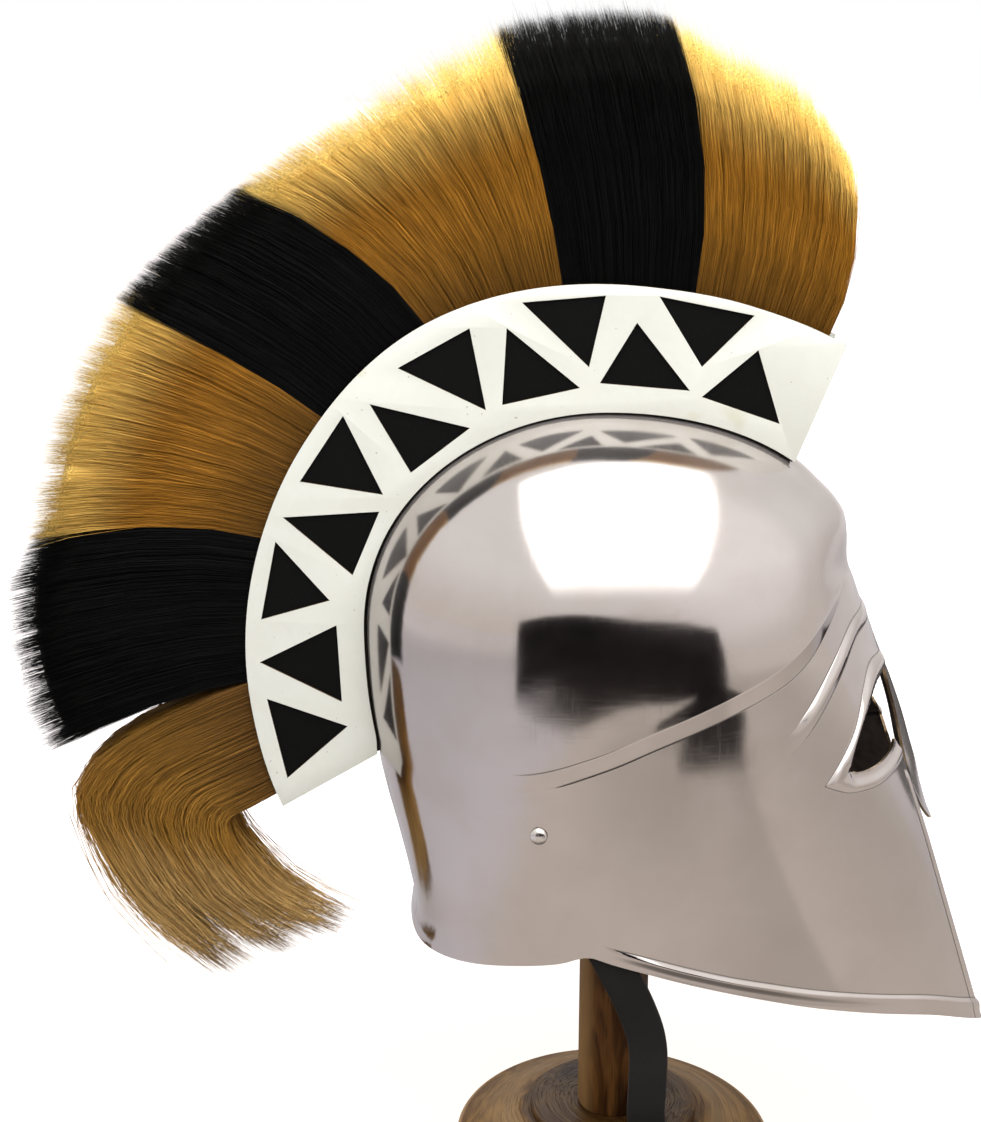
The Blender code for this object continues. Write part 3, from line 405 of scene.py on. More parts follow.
def brow_ridge(distance, angle):
    """A bead that flattens over the nose, where the sheet below it swells out to meet it."""
    share = distance / BROW_HALF / 2 + 0.5
    bead = BROW_HEIGHT * round_bead(share) * fade((-2.0, -1.0, 44.0, 54.0), angle)
    side = ease((angle - 4.0) / 24.0)
    swell = BROW_SWELL * fade((-48.0, -24.0, -6.0, 5.0), distance)
    return bead * (0.4 + 0.6 * side) + swell * (1 - side)


def border_width(angle):
    return through(BORDER_WIDTH, 1, angle)


def lower_border(distance, angle):
    """A roll below a crease, a hollow under it, and a small lip at the edge."""
    share = distance / border_width(angle)
    roll = ease((1 - share) / 0.26) ** 0.7
    fall = 1 - 0.6 * ease((0.72 - share) / 0.42) + 0.15 * ease((0.2 - share) / 0.2)
    low, high = BORDER_ROLL
    tall = low + (high - low) * ease((angle - 40.0) / 26.0)
    return tall * roll * fall * fade((-2.0, -1.0, 76.0, 92.0), angle)


def neck_flare(distance, angle):
    share = np.clip(1 - distance / 20.0, 0, 1.0)
    rolled = share**2.2 - 0.25 * ease((6.0 - distance) / 7.0)
    return NECK_FLARE / MM * rolled * fade((112.0, 152.0, 181.0, 182.0), angle)


def nasal_form(angle, z):
    down = (HELM_TOP - EYE_DROP - z) / NASAL_LENGTH
    across = angle / NASAL_ANGLE
    keel = np.clip(1 - across**2, 0, 1) ** 1.25
    out = NASAL_KEEL * keel * through(NASAL_SIDE, 2, down)
    out -= NASAL_TUCK * fade((-1.1, -1.0, 1.07, 1.79), across) * through(NASAL_SIDE, 1, down)
    return out / MM


def eye_places(table, inner):
    low = HELM_TOP - EYE_DROP - EYE_HEIGHT
    return [(inner + out * (EYE_SPREAD - inner), low + up * EYE_HEIGHT) for out, up in table]


UPPER_EYE = eye_places(EYE_UPPER, NASAL_WIDTH / 2)
LOWER_EYE = eye_places(EYE_LOWER, FACE_GAP / 2)
CHEEK_TOP = eye_places([CHEEK_CORNER], FACE_GAP / 2)[0]


def opening_outline():
    """Front view of half of the opening, from the nasal's tip round the eye to the cheek."""
    top = HELM_TOP - EYE_DROP
    nasal = [(w * NASAL_WIDTH / 2, top - d * NASAL_LENGTH) for d, w in reversed(NASAL)]
    tip = (0.0, top - NASAL_LENGTH)
    over = round_curve([(-nasal[0][0], nasal[0][1]), tip] + nasal + UPPER_EYE + LOWER_EYE[:1], 12)
    over = over[12:]
    under = round_curve(LOWER_EYE + [CHEEK_TOP], 12)
    edge = (FACE_GAP / 2, CHEEK_TOP[1] - (CHEEK_TOP[0] - FACE_GAP / 2) * 4)
    down = [edge, (FACE_GAP / 2, height_at(1.1))]
    return np.vstack([over, under[1:], down])


def in_outline(points, outline):
    """Whether each point of a front view lies inside a closed outline."""
    y, z = points[:, 0], points[:, 1]
    inside = np.zeros(len(points), bool)
    for (y0, z0), (y1, z1) in zip(outline, np.roll(outline, -1, axis=0)):
        if z0 == z1:
            continue
        crosses = (z0 > z) != (z1 > z)
        inside ^= crosses & (y < y0 + (z - z0) / (z1 - z0) * (y1 - y0))
    return inside


def distance_to(points, path):
    """Distance of each point from a path, in any number of dimensions."""
    nearest = np.full(len(points), FAR)
    for start, end in zip(path, path[1:]):
        run = end - start
        length = run @ run
        if length == 0:
            continue
        share = np.clip((points - start) @ run / length, 0, 1)
        gap = np.linalg.norm(points - (start + share[:, None] * run), axis=1)
        nearest = np.minimum(nearest, gap)
    return nearest


def onto_skin(path):
    """Points of the front view, put on the smooth surface."""
    y, z = np.array(path, float).T
    return plain_skin(np.degrees(np.arcsin(np.clip(y / side_reach(z), 0, 1))), z)


OPENING = opening_outline()
OPENING_CLOSED = np.vstack([OPENING, [(-0.02, height_at(1.1)), (-0.02, OPENING[0][1])]])


def beyond_opening(points):
    """Signed distance in the front view from the edge of the opening, minus inside it."""
    front = np.stack([np.abs(points[:, 1]), points[:, 2]], axis=1)
    side = np.where(in_outline(front, OPENING_CLOSED), -1.0, 1.0)
    return np.where(points[:, 0] > HELM_X, side * distance_to(front, OPENING), FAR)


def eye_rim(points):
    """Height in mm of the rim round the eye, and signed distance in mm past its outer edge."""
    above = round_curve(np.array(RIM_ABOVE) * MM, 6)
    below = round_curve(np.array(RIM_BELOW) * MM, 6)
    root = (0.0, UPPER_EYE[0][1])
    upper = np.vstack([[root], round_curve(UPPER_EYE + LOWER_EYE[:1], 6)])
    lower = round_curve(LOWER_EYE + [CHEEK_TOP], 6)
    ring = np.vstack([above, below[1:], lower[::-1], upper[::-1][1:]])
    to_upper = distance_to(points, onto_skin(upper))
    to_lower = distance_to(points, onto_skin(lower))
    to_inner = np.minimum(to_upper, to_lower)
    to_outer = distance_to(points, onto_skin(np.vstack([above, below[1:]])))
    front = np.stack([np.abs(points[:, 1]), points[:, 2]], axis=1)
    inside = in_outline(front, ring)
    share = to_inner / np.maximum(to_inner + to_outer, 1e-9)
    bead = RIM_HEIGHT_MM * round_bead(0.16 + 0.84 * share)
    dish = -LID_DEPTH + (LID_LIP + LID_DEPTH) * ease(share / LID_RIM) ** 1.6
    fall = 1 - ease((share - LID_RIM) / (1 - LID_RIM))
    lid = np.where(share < LID_RIM, dish, LID_LIP * fall)
    under = ease((to_upper - to_lower) / 0.007 + 0.5)
    height = np.where(inside, bead + (lid - bead) * under, 0.0)
    return height, np.where(inside, -to_outer, to_outer) / MM


def raised(angle, z):
    """How far the sheet stands out, in mm, and the distances that its creases follow."""
    to_long = (z - along_line(LONG_HEIGHTS, angle)) / along_line(LONG_STRETCH, angle) / MM
    to_brow = (z - along_line(BROW_HEIGHTS, angle)) / along_line(BROW_STRETCH, angle) / MM
    to_edge = (z - along_line(EDGE_HEIGHTS, angle)) / MM
    points = plain_skin(angle, z)
    out = long_ridge(to_long, angle) + brow_ridge(to_brow, angle)
    out += neck_flare(to_edge, angle) + nasal_form(angle, z)
    border = lower_border(to_edge, angle)
    near = (angle < 58) & (z > 0.235) & (z < 0.33)
    rim, past_rim = np.zeros(len(angle)), np.full(len(angle), FAR)
    rim[near], past_rim[near] = eye_rim(points[near])
    past_cheek = (np.abs(points[:, 1]) - FACE_GAP / 2) / MM / 0.93
    band = CHEEK_HEIGHT * round_bead(np.clip(past_cheek / CHEEK_BAND, 0, 1))
    band *= ease((0.253 - z) / 0.006) * (past_cheek > 0)
    out += np.maximum(border, band) + rim * (0.1 + 0.9 * ease((angle - 2.0) / 9.0))
    to_border = to_edge - border_width(angle)
    ridges = np.stack([to_long / ridge_width(angle), to_brow, to_border], axis=1)
    amounts = np.stack(
        [
            fade((20.0, 30.0, 96.0, 104.0), angle),
            fade((-2.0, -1.0, 44.0, 54.0), angle),
            fade((-2.0, -1.0, 85.0, 91.5), angle),
        ],
        axis=1,
    )
    rear = fade((82.0, 100.0, 106.0, 111.5), angle)
    cheek = ease((0.250 - z) / 0.006)
    faces = np.stack([past_rim, past_cheek, 0 * angle], axis=1)
    face_amounts = np.stack([0 * angle + 1, cheek, rear], axis=1)
    return out * MM, points, (ridges, amounts, faces, face_amounts)


def shaped_skin(angle, z):
    out, points, lines = raised(angle, z)
    return points + skin_normal(angle, z) * out[:, None], lines


# Making pieces
def clear_selection():
    if bpy.context.mode != "OBJECT":
        bpy.ops.object.mode_set(mode="OBJECT")
    bpy.ops.object.select_all(action="DESELECT")


def into_scene(thing):
    bpy.context.scene.collection.objects.link(thing)


def aim(thing, way, axis="Z"):
    """Turns an object until one of its axes points the way given."""
    thing.rotation_mode = "QUATERNION"
    thing.rotation_quaternion = way.to_track_quat(axis, "Y")


def named(name):
    piece = bpy.context.object
    piece.name = name
    piece.data.name = name
    return piece


def coordinates(mesh):
    flat = np.empty(len(mesh.vertices) * 3)
    mesh.vertices.foreach_get("co", flat)
    return flat.reshape(-1, 3)


def put_coordinates(mesh, places):
    mesh.vertices.foreach_set("co", np.ascontiguousarray(places, float).ravel())
    mesh.update()


def grid(name, columns, rows):
    """Flat grid from 0 to columns and 0 to rows, still to be shaped."""
    clear_selection()
    bpy.ops.mesh.primitive_grid_add(x_subdivisions=columns, y_subdivisions=rows, size=2)
    piece = named(name)
    flat = coordinates(piece.data)
    flat[:, 0] = (flat[:, 0] + 1) / 2 * columns
    flat[:, 1] = (flat[:, 1] + 1) / 2 * rows
    put_coordinates(piece.data, flat)
    return piece


def select_only(piece):
    clear_selection()
    piece.select_set(True)
    bpy.context.view_layer.objects.active = piece


def modify(piece, name, kind, **settings):
    """Adds a modifier and applies it."""
    select_only(piece)
    modifier = piece.modifiers.new(name, kind)
    for key, value in settings.items():
        setattr(modifier, key, value)
    bpy.ops.object.modifier_apply(modifier=modifier.name)


def settle(piece):
    """Puts the object's place and turn into its mesh."""
    select_only(piece)
    bpy.ops.object.transform_apply(location=True, rotation=True, scale=True)


def smooth(piece, sharp=40):
    select_only(piece)
    bpy.ops.object.shade_smooth_by_angle(angle=math.radians(sharp))


def faces_out(piece):
    select_only(piece)
    bpy.ops.object.mode_set(mode="EDIT")
    bpy.ops.mesh.select_all(action="SELECT")
    bpy.ops.mesh.remove_doubles(threshold=0.000001)
    bpy.ops.mesh.normals_make_consistent(inside=False)
    bpy.ops.object.mode_set(mode="OBJECT")


def give(piece, *materials):
    piece.data.materials.clear()
    for material in materials:
        piece.data.materials.append(material)


def on_object(piece, slot, *nodes):
    """Attaches a finished piece to the root body and hides the nodes that it stands for; slot is
    not used.
    """
    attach(piece, "root")
    if nodes:
        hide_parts(*nodes)


def point_values(mesh, name, values):
    layer = mesh.attributes.new(name, "FLOAT_VECTOR", "POINT")
    layer.data.foreach_set("vector", np.ascontiguousarray(values, np.float32).ravel())


def turned(name, profile, steps):
    """Turned piece: a disc at the first radius and height, drawn on ring by ring."""
    clear_selection()
    radius, height = profile[0]
    bpy.ops.mesh.primitive_circle_add(
        vertices=steps, radius=radius, fill_type="NGON", location=(0, 0, height)
    )
    piece = named(name)
    settle(piece)
    bpy.ops.object.mode_set(mode="EDIT")
    bpy.ops.mesh.select_all(action="SELECT")
    for next_radius, next_height in profile[1:]:
        bpy.ops.mesh.extrude_region_move(
            TRANSFORM_OT_translate={"value": (0, 0, next_height - height)}
        )
        share = next_radius / radius
        bpy.ops.transform.resize(value=(share, share, 1), center_override=(0, 0, next_height))
        radius, height = next_radius, next_height
    bpy.ops.object.mode_set(mode="OBJECT")
    faces_out(piece)
    return piece


# Finishes
def plug(socket, value):
    """Links a socket to another, or sets its value; colours are given without their alpha."""
    if isinstance(value, bpy.types.NodeSocket):
        socket.id_data.links.new(value, socket)
    else:
        socket.default_value = (*value, 1) if socket.type == "RGBA" else value


def add(tree, kind, sockets=None, **settings):
    """Adds a shader node, sets its options, and sets or links its sockets."""
    node = tree.nodes.new("ShaderNode" + kind)
    for key, value in settings.items():
        setattr(node, key, value)
    for key, value in (sockets or {}).items():
        plug(node.inputs[key], value)
    return node


def maths(tree, operation, *values, clamp=False):
    node = add(tree, "Math", dict(enumerate(values)), operation=operation)
    node.use_clamp = clamp
    return node.outputs[0]


def times(tree, first, second):
    return maths(tree, "MULTIPLY", first, second)


def scaled(tree, value, by, plus):
    return maths(tree, "MULTIPLY_ADD", value, by, plus)


def highest(tree, first, second):
    return maths(tree, "MAXIMUM", first, second)


def blend(tree, amount, first, second):
    sockets = {0: amount, 6: first, 7: second}
    return add(tree, "Mix", sockets, data_type="RGBA").outputs[2]


def ramp(tree, value, low, high, to_low=0.0, to_high=1.0):
    sockets = {"Value": value, 1: low, 2: high, 3: to_low, 4: to_high}
    return add(tree, "MapRange", sockets, interpolation_type="SMOOTHSTEP").outputs[0]


def noise(tree, place, scale, detail=3.0, roughness=0.5, distortion=0.0):
    sockets = {"Vector": place, "Scale": scale, "Detail": detail, "Roughness": roughness}
    sockets["Distortion"] = distortion
    return add(tree, "TexNoise", sockets).outputs[0]


def split(tree, vector):
    return add(tree, "SeparateXYZ", {0: vector}).outputs


def length_of(tree, vector):
    return add(tree, "VectorMath", {0: vector}, operation="LENGTH").outputs[1]


def object_place(tree):
    return add(tree, "TexCoord").outputs["Object"]


def stretched(tree, place, scale, turn=(0.0, 0.0, 0.0)):
    sockets = {"Vector": place, "Rotation": turn, "Scale": scale}
    return add(tree, "Mapping", sockets).outputs[0]


def attribute(tree, name):
    vector = add(tree, "Attribute", attribute_name=name).outputs["Vector"]
    return split(tree, vector)


def new_group(name, inputs, outputs):
    """Empty node group with its named inputs and outputs."""
    group = bpy.data.node_groups.new(name, "ShaderNodeTree")
    for label, kind, value in inputs:
        socket = group.interface.new_socket(name=label, in_out="INPUT", socket_type=kind)
        socket.default_value = value
    for label, kind in outputs:
        group.interface.new_socket(name=label, in_out="OUTPUT", socket_type=kind)
    return group, group.nodes.new("NodeGroupInput").outputs, group.nodes.new("NodeGroupOutput")


def use_group(tree, group, sockets):
    return add(tree, "Group", sockets, node_tree=group).outputs


FLOAT, COLOUR = "NodeSocketFloat", "NodeSocketColor"


def crease_group():
    """A thin line where a signed distance in mm passes a place."""
    inputs = [
        ("Distance", FLOAT, 0.0),
        ("Place", FLOAT, 0.0),
        ("Width", FLOAT, 0.5),
        ("Amount", FLOAT, 1.0),
    ]
    tree, given, result = new_group("Crease", inputs, [("Mask", FLOAT)])
    gap = maths(tree, "ABSOLUTE", maths(tree, "SUBTRACT", given["Distance"], given["Place"]))
    near = maths(tree, "SUBTRACT", 1.0, maths(tree, "DIVIDE", gap, given["Width"]), clamp=True)
    soft = times(tree, near, near)
    plug(result.inputs["Mask"], times(tree, soft, given["Amount"]))
    return tree


def smudge_group():
    """Cloudy handling marks, and fine polishing scratches in two directions."""
    inputs = [("Size", FLOAT, 0.03), ("Scratch size", FLOAT, 0.002)]
    outputs = [("Smudges", FLOAT), ("Scratches", FLOAT)]
    tree, given, result = new_group("Handling marks", inputs, outputs)
    place = object_place(tree)
    scale = maths(tree, "DIVIDE", 1.0, given["Size"])
    cloudy = noise(tree, place, scale, 4.0, 0.6, 0.4)
    plug(result.inputs["Smudges"], ramp(tree, cloudy, 0.35, 0.7))
    fine = maths(tree, "DIVIDE", 0.1, given["Scratch size"])
    lines = []
    for turn, scale in (((0.0, 0.5, 0.0), (1, 1, 26)), ((0.3, -0.8, 0.2), (22, 1, 1))):
        streaks = noise(tree, stretched(tree, place, scale, turn), fine, 2.0, 0.6)
        lines.append(ramp(tree, streaks, 0.52, 0.75))
    plug(result.inputs["Scratches"], highest(tree, *lines))
    return tree


def horsehair_group():
    """Colour along a hair from root to tip, lighter or darker from hair to hair: painted shade
    darkens the roots and a painted backlit glow lightens the tips.
    """
    inputs = [
        ("Root", COLOUR, (0, 0, 0, 1)),
        ("Length", COLOUR, (0, 0, 0, 1)),
        ("Tip", COLOUR, (0, 0, 0, 1)),
        ("Variation", FLOAT, 0.5),
    ]
    tree, given, result = new_group("Horsehair", inputs, [("Color", COLOUR), ("Streaks", FLOAT)])
    hair = add(tree, "UVMap", uv_map="Hair").outputs[0]
    parts = split(tree, hair)
    low = blend(tree, ramp(tree, parts[1], 0.0, 0.5), given["Root"], given["Length"])
    high = blend(tree, ramp(tree, parts[1], 0.55, 1.0), low, given["Tip"])
    streaks = noise(tree, stretched(tree, hair, (1, 0.02, 1)), 190.0, 2.0, 0.7)
    along = ramp(tree, streaks, 0.25, 0.75, -0.5, 0.5)
    stubble = noise(tree, object_place(tree), 1000.0, 1.0)
    cut = ramp(tree, stubble, 0.3, 0.7, -0.5, 0.5)
    end = ramp(tree, parts[1], BODY_REACH - 0.04, BODY_REACH)
    cut = times(tree, cut, end)
    shade = scaled(tree, along, maths(tree, "SUBTRACT", 1.0, end), cut)
    factor = maths(tree, "ADD", 1.0, times(tree, shade, given["Variation"]))
    bright = add(tree, "VectorMath", {0: high, 3: factor}, operation="SCALE").outputs[0]
    plug(result.inputs["Color"], bright)
    plug(result.inputs["Streaks"], streaks)
    return tree


def grain_group():
    """Grain of turned wood along one axis: figure, pores and dark streaks."""
    inputs = [
        ("Place", "NodeSocketVector", (0, 0, 0)),
        ("Figure size", FLOAT, 0.03),
        ("Pore size", FLOAT, 0.0006),
    ]
    outputs = [("Figure", FLOAT), ("Pores", FLOAT), ("Streaks", FLOAT)]
    tree, given, result = new_group("Wood grain", inputs, outputs)
    coarse = maths(tree, "DIVIDE", 1.0, given["Figure size"])
    wander = noise(tree, stretched(tree, given["Place"], (1, 1, 0.22)), coarse, 3.0, 0.5, 0.6)
    rings = maths(tree, "SINE", times(tree, wander, 42.0))
    plug(result.inputs["Figure"], scaled(tree, rings, 0.5, 0.5))
    fine = maths(tree, "DIVIDE", 1.0, given["Pore size"])
    pores = noise(tree, stretched(tree, given["Place"], (1, 1, 0.035)), fine, 2.0, 0.6)
    plug(result.inputs["Pores"], ramp(tree, pores, 0.52, 0.68))
    streaks = noise(tree, stretched(tree, given["Place"], (1, 1, 0.16)), coarse, 2.0, 0.5, 0.3)
    plug(result.inputs["Streaks"], ramp(tree, streaks, 0.5, 0.72))
    return tree


CREASE = crease_group()
MARKS = smudge_group()
HORSEHAIR = horsehair_group()
GRAIN = grain_group()


def feed(shader, **values):
    """Sets or links inputs of a shader, each named with _ for a space."""
    for key, value in values.items():
        plug(shader.inputs[key.replace("_", " ")], value)


def new_finish(name, **constants):
    """Material with its shader's constant values set on the shader itself."""
    material = bpy.data.materials.new(name)
    material.use_nodes = True
    shader = material.node_tree.nodes["Principled BSDF"]
    feed(shader, **constants)
    return material, material.node_tree, shader


def bumped(tree, shader, *layers):
    """Bump from layers of height and depth, one over another."""
    below = None
    for height, depth in layers:
        sockets = {"Height": height, "Distance": depth, "Strength": 1.0}
        if below:
            sockets["Normal"] = below
        below = add(tree, "Bump", sockets).outputs[0]
    feed(shader, Normal=below)


def polished_steel():
    material, tree, shader = new_finish("polished steel", Metallic=1.0)
    marks = use_group(tree, MARKS, {"Size": 0.035, "Scratch size": 0.0022})
    ridges, amounts = attribute(tree, "ridges"), attribute(tree, "ridge_amounts")
    faces, shown = attribute(tree, "faces"), attribute(tree, "face_amounts")
    lines = [
        (ridges[0], LONG_CREASE, 0.6, amounts[0]),
        (ridges[0], LONG_TOP + 0.3, 0.5, shown[2]),
        (ridges[1], -BROW_HALF, 0.6, amounts[1]),
        (ridges[1], BROW_HALF, 0.5, amounts[1]),
        (ridges[2], 0.0, 0.75, amounts[2]),
        (faces[0], 0.0, 0.6, shown[0]),
        (faces[1], CHEEK_BAND, 0.45, shown[1]),
    ]
    masks = []
    for distance, centre, width, amount in lines:
        sockets = {"Distance": distance, "Place": centre, "Width": width, "Amount": amount}
        masks.append(use_group(tree, CREASE, sockets)["Mask"])
    crease = masks[0]
    for mask in masks[1:]:
        crease = highest(tree, crease, mask)
    place = object_place(tree)
    tint = noise(tree, place, 9.0, 2.0)
    warm = blend(tree, tint, (0.50, 0.455, 0.425), (0.545, 0.505, 0.50))
    dulled = blend(tree, times(tree, marks["Smudges"], 0.25), warm, (0.42, 0.37, 0.33))
    # Painted highlight: a pale line along the long ridge's top edge.
    sockets = {"Distance": ridges[0], "Place": LONG_TOP, "Width": 0.8, "Amount": amounts[0]}
    wear_and_highlight = times(tree, use_group(tree, CREASE, sockets)["Mask"], 0.6)
    edge_highlighted = blend(tree, wear_and_highlight, dulled, (0.78, 0.74, 0.72))
    # Painted shade: the steel's colour turns nearly black along every crease line.
    colour = blend(tree, times(tree, crease, 0.85), edge_highlighted, (0.045, 0.035, 0.03))
    rough = scaled(tree, marks["Smudges"], 0.04, 0.085)
    rough = scaled(tree, marks["Scratches"], 0.03, rough)
    rough = scaled(tree, crease, 0.3, rough)
    aside = split(tree, place)[1]
    dusty = ramp(tree, maths(tree, "ABSOLUTE", aside), 0.022, 0.062, 1.0, 0.0)
    rough = scaled(tree, dusty, 0.07, rough)
    metal = scaled(tree, dusty, -0.24, 1.0)
    feed(shader, Base_Color=colour, Roughness=rough, Metallic=metal)
    beaten = noise(tree, place, 24.0, 1.0, 0.4)
    bumped(
        tree,
        shader,
        (beaten, 0.00028),
        (marks["Scratches"], 0.0000012),
        (maths(tree, "SUBTRACT", 1.0, crease), 0.00016),
    )
    return material


def marked_metal(name, sizes, colours, layer, share, least, depth=0.0):
    """Bare metal of two colours, its roughness uneven with one layer of the handling marks."""
    material, tree, shader = new_finish(name, Metallic=1.0)
    marks = use_group(tree, MARKS, dict(zip(("Size", "Scratch size"), sizes)))
    colour = blend(tree, marks["Smudges"], *colours)
    rough = scaled(tree, marks[layer], share, least)
    feed(shader, Base_Color=colour, Roughness=rough)
    if depth:
        bumped(tree, shader, (marks["Scratches"], depth))
    return material


def plated_sheet():
    """Off-white plate, with faint stains and a few dark specks."""
    material, tree, shader = new_finish("off-white plate", Metallic=0.1)
    place = object_place(tree)
    marks = use_group(tree, MARKS, {"Size": 0.018, "Scratch size": 0.0015})
    specks = noise(tree, place, 520.0, 1.0, 0.3)
    speck = ramp(tree, specks, 0.795, 0.82)
    cloud = noise(tree, place, 16.0, 3.0)
    base = blend(tree, cloud, (0.74, 0.75, 0.69), (0.65, 0.66, 0.59))
    stains = ramp(tree, noise(tree, place, 42.0, 2.0, 0.4), 0.68, 0.78)
    base = blend(tree, times(tree, stains, 0.35), base, (0.50, 0.47, 0.25))
    wear_and_highlight = blend(tree, times(tree, marks["Smudges"], 0.22), base, (0.60, 0.57, 0.47))
    spotted = blend(tree, times(tree, speck, 0.6), wear_and_highlight, (0.28, 0.24, 0.18))
    feed(shader, Base_Color=spotted, Roughness=scaled(tree, marks["Smudges"], 0.1, 0.42))
    bumped(tree, shader, (cloud, 0.0002), (marks["Scratches"], 0.000004))
    return material


def plate_edge():
    """Cut edge of the plates, where the base metal shows."""
    material, tree, shader = new_finish("coppery cut edge", Metallic=0.6)
    patchy = noise(tree, object_place(tree), 90.0, 2.0)
    colour = blend(tree, patchy, (0.30, 0.20, 0.12), (0.16, 0.085, 0.035))
    feed(shader, Base_Color=colour, Roughness=scaled(tree, patchy, 0.2, 0.35))
    return material


def black_filler(name, colour, roughness):
    """Dark felt-like filler."""
    material, tree, shader = new_finish(name, Roughness=roughness, Specular_IOR_Level=0.05)
    place = object_place(tree)
    fibres = noise(tree, stretched(tree, place, (1, 1, 0.3)), 1400.0, 3.0, 0.7)
    lighter = tuple(c * 2.2 for c in colour)
    feed(shader, Base_Color=blend(tree, fibres, colour, lighter))
    bumped(tree, shader, (fibres, 0.0003))
    return material


def hair_finish(name, root, length, tip, variation, roughness, shine):
    material, tree, shader = new_finish(name, Roughness=roughness, Specular_IOR_Level=shine)
    sockets = {"Root": root, "Length": length, "Tip": tip}
    hair = use_group(tree, HORSEHAIR, {**sockets, "Variation": variation})
    feed(shader, Base_Color=hair["Color"])
    bumped(tree, shader, (hair["Streaks"], 0.0004))
    return material


def strap_leather():
    """Matt charcoal leather with a fine grain and paler worn edges, with painted shade darkening it
    towards the top, under the helmet.
    """
    material, tree, shader = new_finish("charcoal strap leather", Specular_IOR_Level=0.15)
    place = object_place(tree)
    across = attribute(tree, "across")
    pebbles = add(tree, "TexVoronoi", {"Vector": place, "Scale": 900.0}).outputs[0]
    cloud = noise(tree, place, 60.0, 3.0)
    base = blend(tree, cloud, (0.011, 0.0105, 0.010), (0.019, 0.018, 0.017))
    edge = ramp(tree, maths(tree, "ABSOLUTE", across[0]), 0.93, 1.0)
    rubbed_and_shaded = blend(tree, times(tree, edge, 0.6), base, (0.050, 0.040, 0.036))
    # Painted shade: the leather turns nearly black towards the top, where it hangs under the
    # helmet.
    height = split(tree, place)[2]
    shade_under_helmet = ramp(tree, height, 0.09, 0.16, 0.0, 0.55)
    rubbed_and_shaded = blend(tree, shade_under_helmet, rubbed_and_shaded, (0.004, 0.004, 0.0035))
    feed(shader, Base_Color=rubbed_and_shaded, Roughness=scaled(tree, cloud, 0.2, 0.5))
    bumped(tree, shader, (pebbles, 0.00008), (cloud, 0.0003))
    return material


def stained_wood(name, figure_size, pale, deep, dark):
    """Brown stained wood: grain up a post, lighter on its left side as painted light, or round a
    turned base with a darker raised disc and a painted highlight on its rounded rim.
    """
    material, tree, shader = new_finish(name, Specular_IOR_Level=0.12)
    place = object_place(tree)
    parts = split(tree, place)
    level = add(tree, "CombineXYZ", {0: parts[0], 1: parts[1]}).outputs[0]
    out = length_of(tree, level)
    if name == "base wood":
        lean = scaled(tree, parts[0], 1.7, parts[1])
        round_place = times(tree, maths(tree, "DIVIDE", lean, out), 0.06)
        wander = times(tree, noise(tree, place, 14.0, 2.0), 0.012)
        ring = maths(tree, "ADD", out, wander)
        place = add(tree, "CombineXYZ", {0: ring, 1: parts[2], 2: round_place}).outputs[0]
    grain = use_group(
        tree, GRAIN, {"Place": place, "Figure size": figure_size, "Pore size": 0.0007}
    )
    body = blend(tree, grain["Figure"], pale, deep)
    streaked = blend(tree, times(tree, grain["Streaks"], 0.85), body, dark)
    pored = blend(tree, times(tree, grain["Pores"], 0.6), streaked, dark)
    if name == "base wood":
        inside = ramp(tree, out, STEP_RADIUS - 0.001, STEP_RADIUS + 0.002, 0.62, 0.0)
        foot = ramp(tree, out, STEP_RADIUS + 0.001, STEP_RADIUS + 0.007, 0.55, 0.0)
        # A lighter band across the dish just outside the step, fading towards the rim.
        wear_and_highlight = ramp(tree, out, STEP_RADIUS + 0.004, STEP_RADIUS + 0.012, 0.0, 0.45)
        wear_and_highlight = times(tree, wear_and_highlight, ramp(tree, out, STEP_RADIUS + 0.012, BASE_RADIUS, 1.0, 0.0))
        pored = blend(tree, wear_and_highlight, pored, (0.40, 0.25, 0.11))
        pored = blend(tree, highest(tree, inside, foot), pored, dark)
        # Painted highlight: a pale band round the rounded rim.
        rim = ramp(tree, out, BASE_RADIUS - 0.003, BASE_RADIUS - 0.001, 0.0, 0.6)
        pored = blend(tree, rim, pored, (0.50, 0.31, 0.15))
    else:
        # Painted light: the post's left side, towards -X, turns lighter and golden.
        painted_light_left = ramp(tree, parts[0], -0.019, -0.010, 0.75, 0.0)
        pored = blend(tree, painted_light_left, pored, (0.40, 0.23, 0.09))
    feed(shader, Base_Color=pored, Roughness=scaled(tree, grain["Pores"], 0.2, 0.4))
    bumped(tree, shader, (grain["Pores"], -0.00012), (grain["Figure"], 0.00005))
    return material


STEEL = polished_steel()
INNER_STEEL = marked_metal(
    "unpolished inner steel",
    (0.02, 0.003),
    ((0.10, 0.088, 0.082), (0.05, 0.038, 0.032)),
    "Smudges",
    0.15,
    0.42,
    depth=0.00002,
)
# Filed edge of the sheet, warm coloured as a painted golden-brown reflection
CUT_STEEL = marked_metal(
    "cut edge of the sheet",
    (0.006, 0.0012),
    ((0.50, 0.38, 0.25), (0.26, 0.17, 0.09)),
    "Scratches",
    0.15,
    0.3,
)
RIVET_STEEL = marked_metal(
    "rivet steel",
    (0.003, 0.001),
    ((0.72, 0.69, 0.67), (0.55, 0.51, 0.48)),
    "Scratches",
    0.1,
    0.2,
)
PLATED = plated_sheet()
PLATE_EDGE = plate_edge()
FILLER = black_filler("black filler", (0.0024, 0.0024, 0.0023), 0.7)
FELT = black_filler("saddle felt", (0.007, 0.006, 0.005), 0.85)
